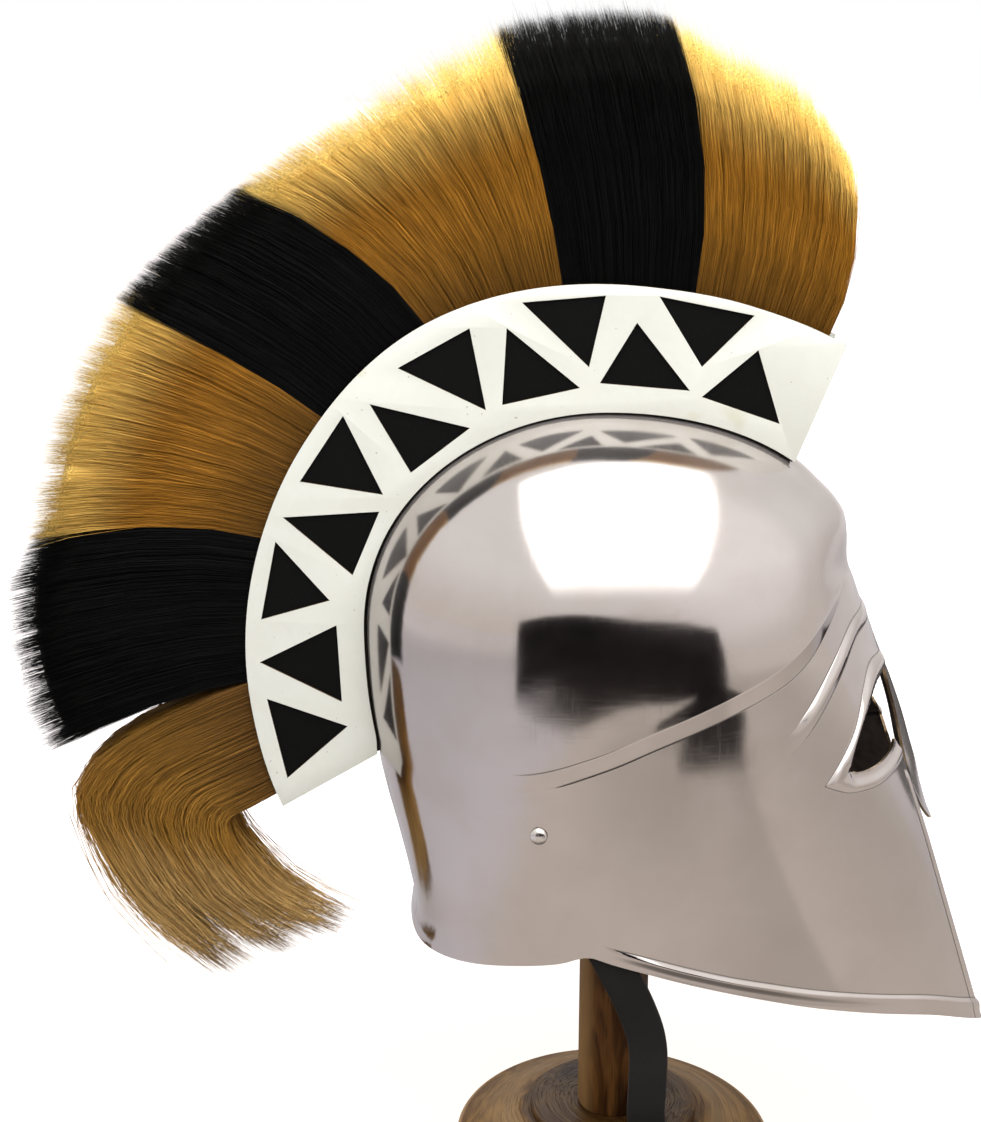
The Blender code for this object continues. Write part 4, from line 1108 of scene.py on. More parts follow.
# Painted light in the tan and tail hair: dark roots are painted shade, and the bright tips are a
# painted backlit glow.
TAN_HAIR = hair_finish(
    "tan horsehair", (0.14, 0.062, 0.008), (0.345, 0.150, 0.015), (1.0, 0.69, 0.18), 1.0, 0.45, 0.12
)
TAIL_HAIR = hair_finish(
    "tail horsehair", (0.13, 0.06, 0.012), (0.36, 0.18, 0.03), (0.66, 0.44, 0.17), 1.0, 0.45, 0.15
)
BLACK_HAIR = hair_finish(
    "black horsehair",
    (0.002, 0.002, 0.002),
    (0.003, 0.003, 0.003),
    (0.004, 0.0038, 0.0035),
    0.9,
    0.5,
    0.06,
)
LEATHER = strap_leather()
POST_WOOD = stained_wood(
    "post wood", 0.03, (0.14, 0.060, 0.016), (0.055, 0.021, 0.006), (0.014, 0.006, 0.0035)
)
BASE_WOOD = stained_wood(
    "base wood", 0.02, (0.22, 0.11, 0.024), (0.115, 0.05, 0.010), (0.026, 0.011, 0.004)
)


# The bowl
COLUMN_SPANS = [(0.0, 9.0, 8), (9.0, 16.84, 5)]
CHEEK_COLUMNS = [16.84, 17.05, 17.4, 17.9, 18.35, 18.7, 18.95, 19.25, 19.9, 20.9]
REAR_SPANS = [(20.9, 52.0, 22), (52.0, 112.0, 34), (112.0, 180.0, 28)]
# Rows of the grid across the border, the brow and the long ridge, close where they bend
BORDER_ROWS = [0, 0.08, 0.17, 0.28, 0.4, 0.52, 0.62, 0.7, 0.76]
BORDER_ROWS += [0.82, 0.88, 0.94, 1.0, 1.06, 1.2, 1.45]
CHEEK_ROWS = [(0.0, 0.55, 11), (0.55, 1.0, 23)]
BROW_ROWS = [-7, -5.4, -4.5, -4.1, -3.7, -3, -2, -0.8, 0.8, 2, 3, 3.7, 4.1, 4.5, 5.4, 7]
LONG_ROWS = [-6.5, -5.2, -4.6, -4.3, -4, -3.2, -2, -0.6, 0.8]
LONG_ROWS += [2.2, 3.3, 3.9, 4.3, 4.7, 5.6, 7.4, 10.5]
MIDDLE_ROWS = 4
DOME_ROWS = 34
EYE_WINDOW = (3.0, 50.0, 0.243, 0.323)


def spaced(spans):
    """Places along spans of (from, to, steps), with the last end left out."""
    places = []
    for low, high, steps in spans:
        places += list(np.linspace(low, high, steps, endpoint=False))
    return places


COLUMNS = np.array(spaced(COLUMN_SPANS) + CHEEK_COLUMNS[:-1] + spaced(REAR_SPANS) + [180.0])
CHEEK_SHARES = np.array(spaced(CHEEK_ROWS))


def row_table(angle):
    """Heights of all rows at each angle: rows follow the border, the brow and the ridge."""
    edge = along_line(EDGE_HEIGHTS, angle)[:, None]
    brow = along_line(BROW_HEIGHTS, angle)[:, None]
    ridge = along_line(LONG_HEIGHTS, angle)[:, None]
    brow_scale = along_line(BROW_STRETCH, angle)[:, None] * MM
    ridge_scale = (along_line(LONG_STRETCH, angle) * ridge_width(angle))[:, None] * MM
    border = edge + np.array(BORDER_ROWS)[None] * border_width(angle)[:, None] * MM
    brows = brow + np.array(BROW_ROWS)[None] * brow_scale
    longs = ridge + np.array(LONG_ROWS)[None] * ridge_scale
    low, high = border[:, -1:], brows[:, :1]
    cheek = low + (high - low) * CHEEK_SHARES[None, 1:]
    low, high = brows[:, -1:], longs[:, :1]
    shares = np.linspace(0, 1, MIDDLE_ROWS + 2)[None, 1:-1]
    middle = low + (high - low) * shares
    low = longs[:, -1:]
    rise = np.sin(math.pi / 2 * np.arange(1, DOME_ROWS + 1) / DOME_ROWS)[None]
    crown = low + (HELM_TOP - low) * rise
    return np.hstack([border, cheek, brows, middle, longs, crown])


ROWS = row_table(np.array([0.0])).shape[1]


def sheet_place(flat):
    """Angle and height on the bowl of each vertex of the flat grid."""
    first = np.interp(flat[:, 0], np.arange(len(COLUMNS)), COLUMNS)
    angle = first
    for _ in range(2):
        table = row_table(angle)
        low = np.clip(np.floor(flat[:, 1]).astype(int), 0, ROWS - 2)
        share = flat[:, 1] - low
        i = np.arange(len(flat))
        z = table[i, low] * (1 - share) + table[i, low + 1] * share
        edge = np.degrees(np.arcsin(FACE_GAP / 2 / side_reach(np.minimum(z, 0.27))))
        angle = first + (edge - CHEEK_COLUMNS[0]) * fade((2.0, 16.0, 21.0, 52.0), first)
    return angle, z


ON_EDGE = 0.00003
DEGREE = 0.0018


def onto_opening(angle, z):
    """Slides places along the sheet until they lie on the edge of the opening."""
    for _ in range(5):
        apart = beyond_opening(shaped_skin(angle, z)[0])
        turned_by, raised_by = 0.01, 0.00002
        sideways = beyond_opening(shaped_skin(angle + turned_by, z)[0]) - apart
        upwards = beyond_opening(shaped_skin(angle, z + raised_by)[0]) - apart
        slope = np.stack([sideways / (turned_by * DEGREE), upwards / raised_by])
        move = -apart * slope / np.maximum((slope**2).sum(axis=0), 0.2)
        move = np.clip(move, -0.0004, 0.0004)
        angle, z = angle + move[0] / DEGREE, z + move[1]
    return angle, z


def bowl_sheet():
    """Half of the bowl: a grid laid on the skin, finer round the eye, open at the face."""
    bowl = grid("helmet_bowl", len(COLUMNS) - 1, ROWS - 1)
    angle, z = sheet_place(coordinates(bowl.data))
    low_angle, high_angle, low_z, high_z = EYE_WINDOW
    bpy.ops.object.mode_set(mode="EDIT")
    bpy.ops.mesh.select_all(action="DESELECT")
    bpy.ops.object.mode_set(mode="OBJECT")
    for face in bowl.data.polygons:
        corners = list(face.vertices)
        middle_angle, middle_z = angle[corners].mean(), z[corners].mean()
        inside = low_angle < middle_angle < high_angle and low_z < middle_z < high_z
        face.select = inside
    bpy.ops.object.mode_set(mode="EDIT")
    bpy.ops.mesh.select_mode(type="FACE")
    bpy.ops.mesh.subdivide(number_cuts=3, smoothness=0)
    bpy.ops.object.mode_set(mode="OBJECT")
    angle, z = sheet_place(coordinates(bowl.data))

    # The nearer end of each edge that the opening's outline crosses moves onto the outline
    apart = beyond_opening(shaped_skin(angle, z)[0])
    on_edge = np.abs(apart) < ON_EDGE
    pairs = np.array([edge.vertices[:] for edge in bowl.data.edges])
    crossing = (apart[pairs[:, 0]] * apart[pairs[:, 1]] < 0) & ~on_edge[pairs].any(axis=1)
    moves = []
    for a, b in pairs[crossing]:
        share = apart[a] / (apart[a] - apart[b])
        moves.append((share, a, b) if share <= 0.5 else (1 - share, b, a))
    for share, near, far in sorted(moves):
        if not on_edge[near] and not on_edge[far]:
            angle[near] += (angle[far] - angle[near]) * share
            z[near] += (z[far] - z[near]) * share
            on_edge[near] = True
    angle[on_edge], z[on_edge] = onto_opening(angle[on_edge], z[on_edge])
    places, lines = shaped_skin(angle, z)
    places[angle < 0.001, 1] = 0
    places[angle > 179.999, 1] = 0
    apart = np.where(on_edge, 0.0, beyond_opening(places))
    put_coordinates(bowl.data, places)
    for name, values in zip(("ridges", "ridge_amounts", "faces", "face_amounts"), lines):
        point_values(bowl.data, name, values)

    mesh = bmesh.new()
    mesh.from_mesh(bowl.data)
    mesh.verts.ensure_lookup_table()
    for face in list(mesh.faces):
        sides = [apart[vertex.index] for vertex in face.verts]
        if min(sides) < 0 < max(sides):
            between = [vertex for vertex in face.verts if apart[vertex.index] == 0]
            if len(between) == 2:
                bmesh.utils.face_split(face, *between)
    inside = []
    for face in mesh.faces:
        total = sum(apart[vertex.index] for vertex in face.verts)
        if total == 0:
            middle = np.array([face.calc_center_median()])
            total = beyond_opening(middle)[0]
        if total < 0:
            inside.append(face)
    bmesh.ops.delete(mesh, geom=inside, context="FACES")
    bmesh.ops.remove_doubles(mesh, verts=mesh.verts, dist=1e-6)
    mesh.to_mesh(bowl.data)
    mesh.free()
    return bowl


def make_bowl():
    bowl = bowl_sheet()
    modify(
        bowl,
        "Left half",
        "MIRROR",
        use_axis=(False, True, False),
        use_mirror_merge=True,
        merge_threshold=0.00001,
    )
    faces_out(bowl)
    crown = max(bowl.data.polygons, key=lambda face: face.center.z)
    if crown.normal.z < 0:
        bowl.data.flip_normals()
    give(bowl, STEEL, INNER_STEEL, CUT_STEEL)
    modify(
        bowl,
        "Sheet",
        "SOLIDIFY",
        thickness=SHEET,
        offset=-1.0,
        material_offset=1,
        material_offset_rim=2,
    )
    smooth(bowl, 50)
    on_object(bowl, "steel", "helmet_shell")


# Crest
def bowl_radius(angle):
    """Radius of the bowl's middle outline, seen from the crest's centre."""
    heights = HELM_TOP - HELM_HEIGHT * np.linspace(0, 1, 400) ** 2
    front = HELM_X + front_reach(0.0, heights)
    x = np.concatenate([front[::-1], HELM_X - back_reach(heights)])
    z = np.concatenate([heights[::-1], heights])
    turns = np.degrees(np.arctan2(z - CREST_Z, x - CREST_X)) % 360
    order = np.argsort(turns)
    return np.interp(angle, turns[order], np.hypot(x - CREST_X, z - CREST_Z)[order])


def outer_radius(angle):
    share = (angle - FRONT_OUTER) / (REAR_OUTER - FRONT_OUTER)
    return CREST_RADIUS * through(CREST_OUTLINE, 1, share)


def around(angle, radius):
    turn = np.radians(angle)
    return CREST_X + radius * np.cos(turn), CREST_Z + radius * np.sin(turn)


def cutout_corners(row):
    point_at, point_up, base_from, base_to, base_up = row
    corners = []
    for angle, up in ((point_at, point_up), (base_from, base_up), (base_to, base_up)):
        low, high = bowl_radius(angle) + PLATE_LIFT, outer_radius(angle)
        corners.append(around(angle, low + up * (high - low)))
    return corners


def make_plates():
    """Both plates: the outline and its cut-outs drawn flat, given thickness, edges just broken."""
    share = np.linspace(0, 1, 121)
    inner = FRONT_INNER + share * (REAR_INNER - FRONT_INNER)
    outer = FRONT_OUTER + share * (REAR_OUTER - FRONT_OUTER)
    low = np.stack(around(inner, bowl_radius(inner) + PLATE_LIFT - PLATE_SKIRT), axis=1)
    high = np.stack(around(outer, outer_radius(outer)), axis=1)
    outlines = [np.concatenate([low, high[::-1]])] + [cutout_corners(row) for row in CUTOUTS]
    clear_selection()
    bpy.ops.object.add(type="CURVE", rotation=(math.pi / 2, 0, 0))
    plate = named("plate_right")
    drawing = plate.data
    drawing.dimensions = "2D"
    drawing.fill_mode = "BOTH"
    drawing.bevel_depth = BROKEN_EDGE
    drawing.bevel_resolution = 1
    drawing.offset = -BROKEN_EDGE
    drawing.extrude = PLATE / 2 - BROKEN_EDGE
    for outline in outlines:
        line = drawing.splines.new("POLY")
        line.points.add(len(outline) - 1)
        for point, (x, z) in zip(line.points, outline):
            point.co = (x, z, 0, 1)
        line.use_cyclic_u = True
    bpy.ops.object.convert(target="MESH")
    plate = bpy.context.object
    settle(plate)
    faces_out(plate)
    smooth(plate, 25)
    give(plate, PLATED, PLATE_EDGE)
    for face in plate.data.polygons:
        face.material_index = int(abs(face.normal.y) < 0.9)
    for name, side in (("plate_right", -1), ("plate_left", 1)):
        clear_selection()
        copy = plate.copy()
        copy.data = plate.data.copy()
        into_scene(copy)
        copy.location.y = side * (CREST_WIDTH - PLATE) / 2
        settle(copy)
        copy.name = copy.data.name = "crest_" + name + "_cut"
        on_object(copy, "plate", "crest_" + name)
    bpy.data.objects.remove(plate)


# Hair
def strand_mesh(name, paths, radii, shade):
    """Bare strands, each a three-sided taper along its path, joined in one mesh.

    paths is strands x levels x 3, radii strands x levels; the last level is the tip.
    """
    count, levels, _ = paths.shape
    along = np.gradient(paths, axis=1)
    along /= np.linalg.norm(along, axis=2, keepdims=True)
    turn = shade * 40.0
    sideways = np.stack([np.cos(turn), np.sin(turn), np.cos(turn * 1.7) * 0.7], axis=1)[:, None]
    across = np.cross(along, sideways)
    across /= np.linalg.norm(across, axis=2, keepdims=True)
    other = np.cross(along, across)
    rings = []
    for k in range(3):
        turn = 2 * math.pi * k / 3
        out = across * math.cos(turn) + other * math.sin(turn)
        rings.append(paths[:, :-1] + out[:, :-1] * radii[:, :-1, None])
    ringed = np.stack(rings, axis=2)
    body = ringed.reshape(count, -1, 3)
    points = np.concatenate([body, paths[:, -1:]], axis=1)
    per_strand = points.shape[1]
    quads, sides = [], []
    for level in range(levels - 2):
        for k in range(3):
            a, b = 3 * level + k, 3 * level + (k + 1) % 3
            quads.append((a, b, b + 3, a + 3))
    last = 3 * (levels - 2)
    for k in range(3):
        sides.append((last + k, last + (k + 1) % 3, per_strand - 1))
    start = np.arange(count)[:, None] * per_strand
    quad_loops = (start[:, :, None] + np.array(quads)[None]).reshape(-1)
    side_loops = (start[:, :, None] + np.array(sides)[None]).reshape(-1)
    loops = np.concatenate([quad_loops, side_loops]).astype(np.int32)
    quad_count, side_count = len(quad_loops) // 4, len(side_loops) // 3
    starts = np.concatenate(
        [np.arange(quad_count) * 4, len(quad_loops) + np.arange(side_count) * 3]
    )
    mesh = bpy.data.meshes.new(name)
    mesh.vertices.add(count * per_strand)
    put_coordinates(mesh, points.reshape(-1, 3))
    mesh.loops.add(len(loops))
    mesh.loops.foreach_set("vertex_index", loops)
    mesh.polygons.add(len(starts))
    mesh.polygons.foreach_set("loop_start", starts.astype(np.int32))
    mesh.update(calc_edges=True)
    mesh.validate()
    level_share = np.repeat(np.linspace(0, 1, levels)[:-1], 3)
    level_share = np.append(level_share, 1.0)
    values = np.stack([np.repeat(shade, per_strand), np.tile(level_share, count)], axis=1)
    put_hair_map(mesh, values)
    mesh.polygons.foreach_set("use_smooth", np.ones(len(mesh.polygons), bool))
    return mesh


def put_hair_map(mesh, values):
    """UV map Hair: across the hair in U, from root to tip in V, given at the vertices."""
    corners = np.empty(len(mesh.loops), np.int32)
    mesh.loops.foreach_get("vertex_index", corners)
    layer = mesh.uv_layers.new(name="Hair")
    layer.uv.foreach_set("vector", np.ascontiguousarray(values[corners], np.float32).ravel())


def hair_band(band):
    """place(across, deep, along) of a band: across and along 0 to 1, deep -1 to 1."""
    _, root_from, root_to, tip_from, tip_to, _ = band

    def place(across, deep, along, longer=1.0):
        root = root_from + across * (root_to - root_from)
        tip = tip_from + across * (tip_to - tip_from)
        start = outer_radius(root) - HAIR_SEAT
        end = CREST_RADIUS + HAIR_LENGTH * through(HAIR_OUTLINE, 1, tip)
        angle = root + (tip - root) * np.clip(along, 0, 2) ** HAIR_BEND
        x, z = around(angle, start + (end - start) * along * longer)
        half = HAIR_ROOT_HALF + (HAIR_TIP_HALF - HAIR_ROOT_HALF) * ease(along)
        return np.stack([x, deep * half, z], axis=-1)

    return place


def hair_tail_place():
    corner = np.array(around(REAR_OUTER, outer_radius(REAR_OUTER)))

    def edge(column, root):
        points = [np.array(around(root, outer_radius(root) - HAIR_SEAT))]
        points += [corner + np.array(row[column : column + 2]) * TAIL_SIZE for row in TAIL]
        return round_curve(points, 12)

    upper, lower = edge(0, TAIL_ROOT[0] + 0.1), edge(2, TAIL_ROOT[1])
    halves = [(0.0, HAIR_ROOT_HALF / TAIL_HALF)]
    halves += [((i + 1) / len(TAIL), row[4]) for i, row in enumerate(TAIL)]
    steps = np.linspace(0, 1, len(upper))

    def place(across, deep, along, longer=1.0):
        at = np.clip(along * longer, 0, 1)
        x, z = [
            np.interp(at, steps, upper[:, k]) * (1 - across)
            + np.interp(at, steps, lower[:, k]) * across
            for k in (0, 1)
        ]
        return np.stack([x, deep * TAIL_HALF * through(halves, 1, at), z], axis=-1)

    return place


def hair_body(name, place, material, reach, thickness):
    """Solid inside of a band, under the loose strands: a divided cube laid along the hair."""
    clear_selection()
    bpy.ops.mesh.primitive_cube_add(size=2)
    body = named(name)
    bpy.ops.object.mode_set(mode="EDIT")
    bpy.ops.mesh.select_all(action="SELECT")
    bpy.ops.mesh.subdivide(number_cuts=19, smoothness=0)
    bpy.ops.object.mode_set(mode="OBJECT")
    cube = coordinates(body.data)
    across, along = (cube[:, 0] + 1) / 2, (cube[:, 2] + 1) / 2
    inner = 0.03 + 0.94 * across
    rounded = cube[:, 1] * np.sqrt(np.clip(1 - 0.35 * (2 * across - 1) ** 6, 0, 1))
    domed = reach * (1 - 0.04 * cube[:, 1] ** 4)
    put_coordinates(body.data, place(inner, rounded * thickness, along * domed))
    put_hair_map(body.data, np.stack([across * 0.9 + cube[:, 1] * 0.37, along * reach], axis=1))
    faces_out(body)
    give(body, material)
    smooth(body, 50)
    return body


def strands(name, place, material, seed, count, levels, habit):
    """Loose strands of a band, gathered in clumps, with uneven ends and a few strays."""
    draw = np.random.default_rng(seed)
    across = draw.uniform(0.0, 1.0, count)
    deep = draw.uniform(-1.0, 1.0, count)
    facing = draw.random(count) < habit["facing"]
    across = np.where(facing, np.round(across) + (0.5 - across) * 0.04, across)
    skin = (draw.random(count) < habit["skin"]) & ~facing
    deep = np.where(skin, np.sign(deep) * (1 - 0.22 * draw.random(count) ** 1.5), deep)
    clumps = habit["clumps"]
    clump_across = draw.uniform(0, 1, clumps)
    clump_deep = draw.uniform(-1, 1, clumps)
    gaps = (across[:, None] - clump_across) ** 2 * 9 + (deep[:, None] - clump_deep) ** 2
    own = np.argmin(gaps, axis=1)
    pull = draw.uniform(0.1, 0.75, count) * habit["pull"]
    level = np.linspace(0, 1, levels)[None]
    drift = draw.normal(0, habit["drift"], clumps)[own][:, None]
    stray = draw.random(count) < habit["strays"]
    swing = draw.normal(0, habit["swing"], count) * np.where(stray, 4.0, 1.0)
    sway = draw.normal(0, habit["swing"], count) * np.where(stray, 3.0, 1.0)
    a = across[:, None] + (clump_across[own] - across)[:, None] * pull[:, None] * level**1.5
    a = a + drift * level**1.4 + swing[:, None] * level**1.6
    d = deep[:, None] + (clump_deep[own] - deep)[:, None] * pull[:, None] * level**1.5
    d = d + sway[:, None] * level**1.6 * 2
    length = 1 - habit["uneven"] + draw.normal(0, habit["uneven"], count)
    length += draw.normal(0, habit["clump_uneven"], clumps)[own]
    length += np.where(stray, draw.uniform(0.0, 0.07, count), 0.0)
    along = level * np.clip(length, 0.5, habit["longest"])[:, None]
    paths = place(a, np.clip(d, -1.15, 1.15), along)
    phase = draw.uniform(0, 2 * math.pi, (count, 2))
    wave = habit["wave"] * level**1.2
    paths[..., 1] += wave * np.sin(phase[:, :1] + 6.0 * level)
    paths[..., 0] += wave * np.sin(phase[:, 1:] + 5.0 * level)
    thick = draw.uniform(0.7, 1.25, count)[:, None] * habit["thick"] * MM
    radii = thick * (1 - 0.6 * level**8)
    shade = np.clip(clump_across[own] * 7 % 1 * 0.5 + draw.random(count) * 0.5, 0, 1)
    mesh = strand_mesh(name, paths, radii, shade)
    piece = bpy.data.objects.new(name, mesh)
    into_scene(piece)
    give(piece, material)
    return piece


TAN_HABIT = {
    "skin": 0.6,
    "facing": 0.1,
    "clumps": 170,
    "pull": 0.65,
    "drift": 0.010,
    "strays": 0.05,
    "swing": 0.014,
    "uneven": 0.022,
    "clump_uneven": 0.008,
    "longest": 1.08,
    "wave": 0.0008,
    "thick": 0.16,
}
BLACK_HABIT = {
    **TAN_HABIT,
    "clumps": 240,
    "pull": 0.4,
    "uneven": 0.012,
    "clump_uneven": 0.005,
    "strays": 0.01,
    "thick": 0.2,
}
TAIL_HABIT = {
    **TAN_HABIT,
    "clumps": 70,
    "drift": 0.035,
    "strays": 0.14,
    "swing": 0.035,
    "uneven": 0.07,
    "clump_uneven": 0.05,
    "longest": 1.0,
    "wave": 0.0028,
    "thick": 0.2,
}
STRAND_COUNT = 6000
TAIL_STRANDS = 3300


def make_hair():
    looks = {
        "tan": (TAN_HAIR, "tan_hair", TAN_HABIT),
        "black": (BLACK_HAIR, "black_hair", BLACK_HABIT),
    }
    for seed, band in enumerate(BANDS):
        node, colour = band[0], band[-1]
        material, slot, habit = looks[colour]
        place = hair_band(band)
        body = hair_body(node + "_body", place, material, BODY_REACH, 0.86)
        on_object(body, slot, node)
        loose = strands(node + "_strands", place, material, seed, STRAND_COUNT, 5, habit)
        on_object(loose, slot)
    place = hair_tail_place()
    body = hair_body("hair_tail_body", place, TAIL_HAIR, 0.82, 0.76)
    on_object(body, "tan_hair", "hair_tail")
    loose = strands("hair_tail_strands", place, TAIL_HAIR, 20, TAIL_STRANDS, 11, TAIL_HABIT)
    on_object(loose, "tan_hair")


# Strap, rivets and stand
LEFT_SWING = 12.0


def hang(height):
    """How freely the strap hangs at a height in mm: 0 near the rivet and at its lowest."""
    return float(fade((43.0, 54.0, 125.0, 190.0), height))


def make_strap():
    """One loop from rivet to rivet; its left half hangs a little further back."""
    places = [place for place, across in STRAP]
    ways = [across for place, across in STRAP]
    places += [(x - LEFT_SWING * hang(z), -y, z) for x, y, z in places[-2::-1]]
    ways += [(x, -y, z) for x, y, z in ways[-2::-1]]
    path = round_curve(places, 8) * MM
    ways = round_curve(ways, 8)
    along = np.gradient(path, axis=0)
    along /= np.linalg.norm(along, axis=1, keepdims=True)
    ways -= along * np.sum(ways * along, axis=1, keepdims=True)
    ways /= np.linalg.norm(ways, axis=1, keepdims=True)
    strap = grid("chin_strap_leather", len(path) - 1, 6)
    flat = coordinates(strap.data)
    i = np.round(flat[:, 0]).astype(int)
    share = flat[:, 1] / 3 - 1
    put_coordinates(strap.data, path[i] + ways[i] * share[:, None] * STRAP_WIDTH / 2)
    point_values(strap.data, "across", np.stack([share, 0 * share, 0 * share], axis=1))
    faces_out(strap)
    modify(strap, "Thickness", "SOLIDIFY", thickness=STRAP_THICKNESS, offset=0.0)
    modify(
        strap,
        "Rubbed edges",
        "BEVEL",
        width=0.0005,
        segments=2,
        limit_method="ANGLE",
        angle_limit=math.radians(50),
    )
    give(strap, LEATHER)
    smooth(strap, 40)
    on_object(strap, "leather", "chin_strap")


# Rivet in mm: its domed head, then its rim, shank and burr as radius and height
HEAD_RADIUS, HEAD_RISE, HEAD_RIM = 4.5, 2.4, 0.6
SHANK = [(4.3, 0.45), (2.4, 0.45), (2.4, -5.7), (4.4, -5.7), (4.4, -6.5), (4.1, -6.7)]


def make_rivets():
    turns = np.linspace(0.12, math.pi / 2, 9)
    head = [(math.sin(t) * HEAD_RADIUS, HEAD_RIM + HEAD_RISE * math.cos(t)) for t in turns]
    profile = [(radius * MM, height * MM) for radius, height in head + SHANK]
    for name, side in (("rivet_right", -1), ("rivet_left", 1)):
        rivet = turned(name + "_turned", profile, 40)
        out = Vector((RIVET_OUT.x, -side * RIVET_OUT.y, RIVET_OUT.z))
        aim(rivet, out)
        rivet.location = (RIVET_PLACE.x, -side * RIVET_PLACE.y, RIVET_PLACE.z)
        settle(rivet)
        give(rivet, RIVET_STEEL)
        smooth(rivet, 35)
        on_object(rivet, "steel", name)


DISH = [(0.0, 0.0), (0.12, 0.06), (0.35, 0.22), (0.65, 0.55), (0.88, 0.82), (1.0, 1.0)]


def make_base():
    """Turned base: raised disc, hollow dish, rounded rim."""
    middle, edge, rim, foot = 0.002, 0.0015, 0.002, 0.004
    profile = [(middle, STEP_TOP), (STEP_RADIUS - 0.012, STEP_TOP), (STEP_RADIUS - edge, STEP_TOP)]
    for turn in np.radians([30, 60, 90]):
        out, down = edge * math.sin(turn), edge * (1 - math.cos(turn))
        profile.append((STEP_RADIUS - edge + out, STEP_TOP - down))
    run, drop = BASE_RADIUS - STEP_RADIUS, DISH_TOP - RIM_HEIGHT
    for share in np.linspace(0, 1, 13):
        down = through(DISH, 1, share)
        profile.append((STEP_RADIUS + share * run, DISH_TOP - down * drop))
    for turn in np.radians([20, 50, 80]):
        out, up = rim * (1 - math.cos(turn)), rim - rim * math.sin(turn)
        profile.append((BASE_RADIUS - out, up))
    profile += [(BASE_RADIUS - foot, 0.0), (middle, 0.0)]
    base = turned("stand_base_turned", profile, 128)
    give(base, BASE_WOOD)
    smooth(base, 35)
    on_object(base, "wood", "stand_base")


# The post of the photo is a little slimmer than the CAD's, with its rear side in the same place
POST_WAIST = POST_RADIUS - 0.0009
POST_SEAT = STEP_TOP + 0.0004


def make_post():
    profile = [(0.0015, STAND_HEIGHT)]
    for turn in np.radians([15, 30, 45, 60, 75, 90]):
        out, down = math.sin(turn), 1 - math.cos(turn)
        profile.append((POST_WAIST * out, STAND_HEIGHT - POST_RADIUS * 0.5 * down))
    for height in np.linspace(STAND_HEIGHT - 0.03, STEP_TOP + 0.0016, 9):
        profile.append((POST_WAIST, height))
    profile += [(POST_WAIST - 0.0006, POST_SEAT), (0.002, POST_SEAT)]
    post = turned("stand_post_turned", profile, 96)
    post.location.x = POST_WAIST - POST_RADIUS
    settle(post)
    give(post, POST_WOOD)
    smooth(post, 35)
    on_object(post, "wood", "stand_post")


# Studio
# Camera, matched to the photo: turn and rise in degrees, the point looked at and its distance
CAMERA_TURN, CAMERA_RISE = 1.5, 16.0
CAMERA_LOOKS_AT = Vector((-0.0714, 0.0, 0.356))
CAMERA_AWAY = 0.9626
SENSOR = 36.0
FOCAL_PIXELS, PHOTO_PIXELS = 1800, 1122


def make_camera():
    turn, rise = math.radians(CAMERA_TURN), math.radians(CAMERA_RISE)
    level = math.cos(rise)
    back = Vector((math.sin(turn) * level, -math.cos(turn) * level, math.sin(rise)))
    camera = bpy.data.objects.new("camera", bpy.data.cameras.new("camera"))
    into_scene(camera)
    camera.location = CAMERA_LOOKS_AT + back * CAMERA_AWAY
    aim(camera, -back, "-Z")
    camera.data.sensor_width = SENSOR
    camera.data.lens = FOCAL_PIXELS / PHOTO_PIXELS * SENSOR
    camera.data.clip_start, camera.data.clip_end = 0.02, 60.0
    bpy.context.scene.camera = camera


def studio_plane(name, centre, facing, width, height, material):
    clear_selection()
    bpy.ops.mesh.primitive_plane_add(size=1)
    plane = named(name)
    plane.scale = (width, height, 1)
    aim(plane, Vector(facing))
    plane.location = centre
    give(plane, material)
    return plane


def soft_box(name, centre, target, width, height, power):
    light = bpy.data.lights.new(name, "AREA")
    light.shape = "RECTANGLE"
    light.size, light.size_y = width, height
    light.energy = power
    box = bpy.data.objects.new(name, light)
    into_scene(box)
    box.location = centre
    aim(box, Vector(target) - Vector(centre), "-Z")
    box.visible_camera = False
    return box


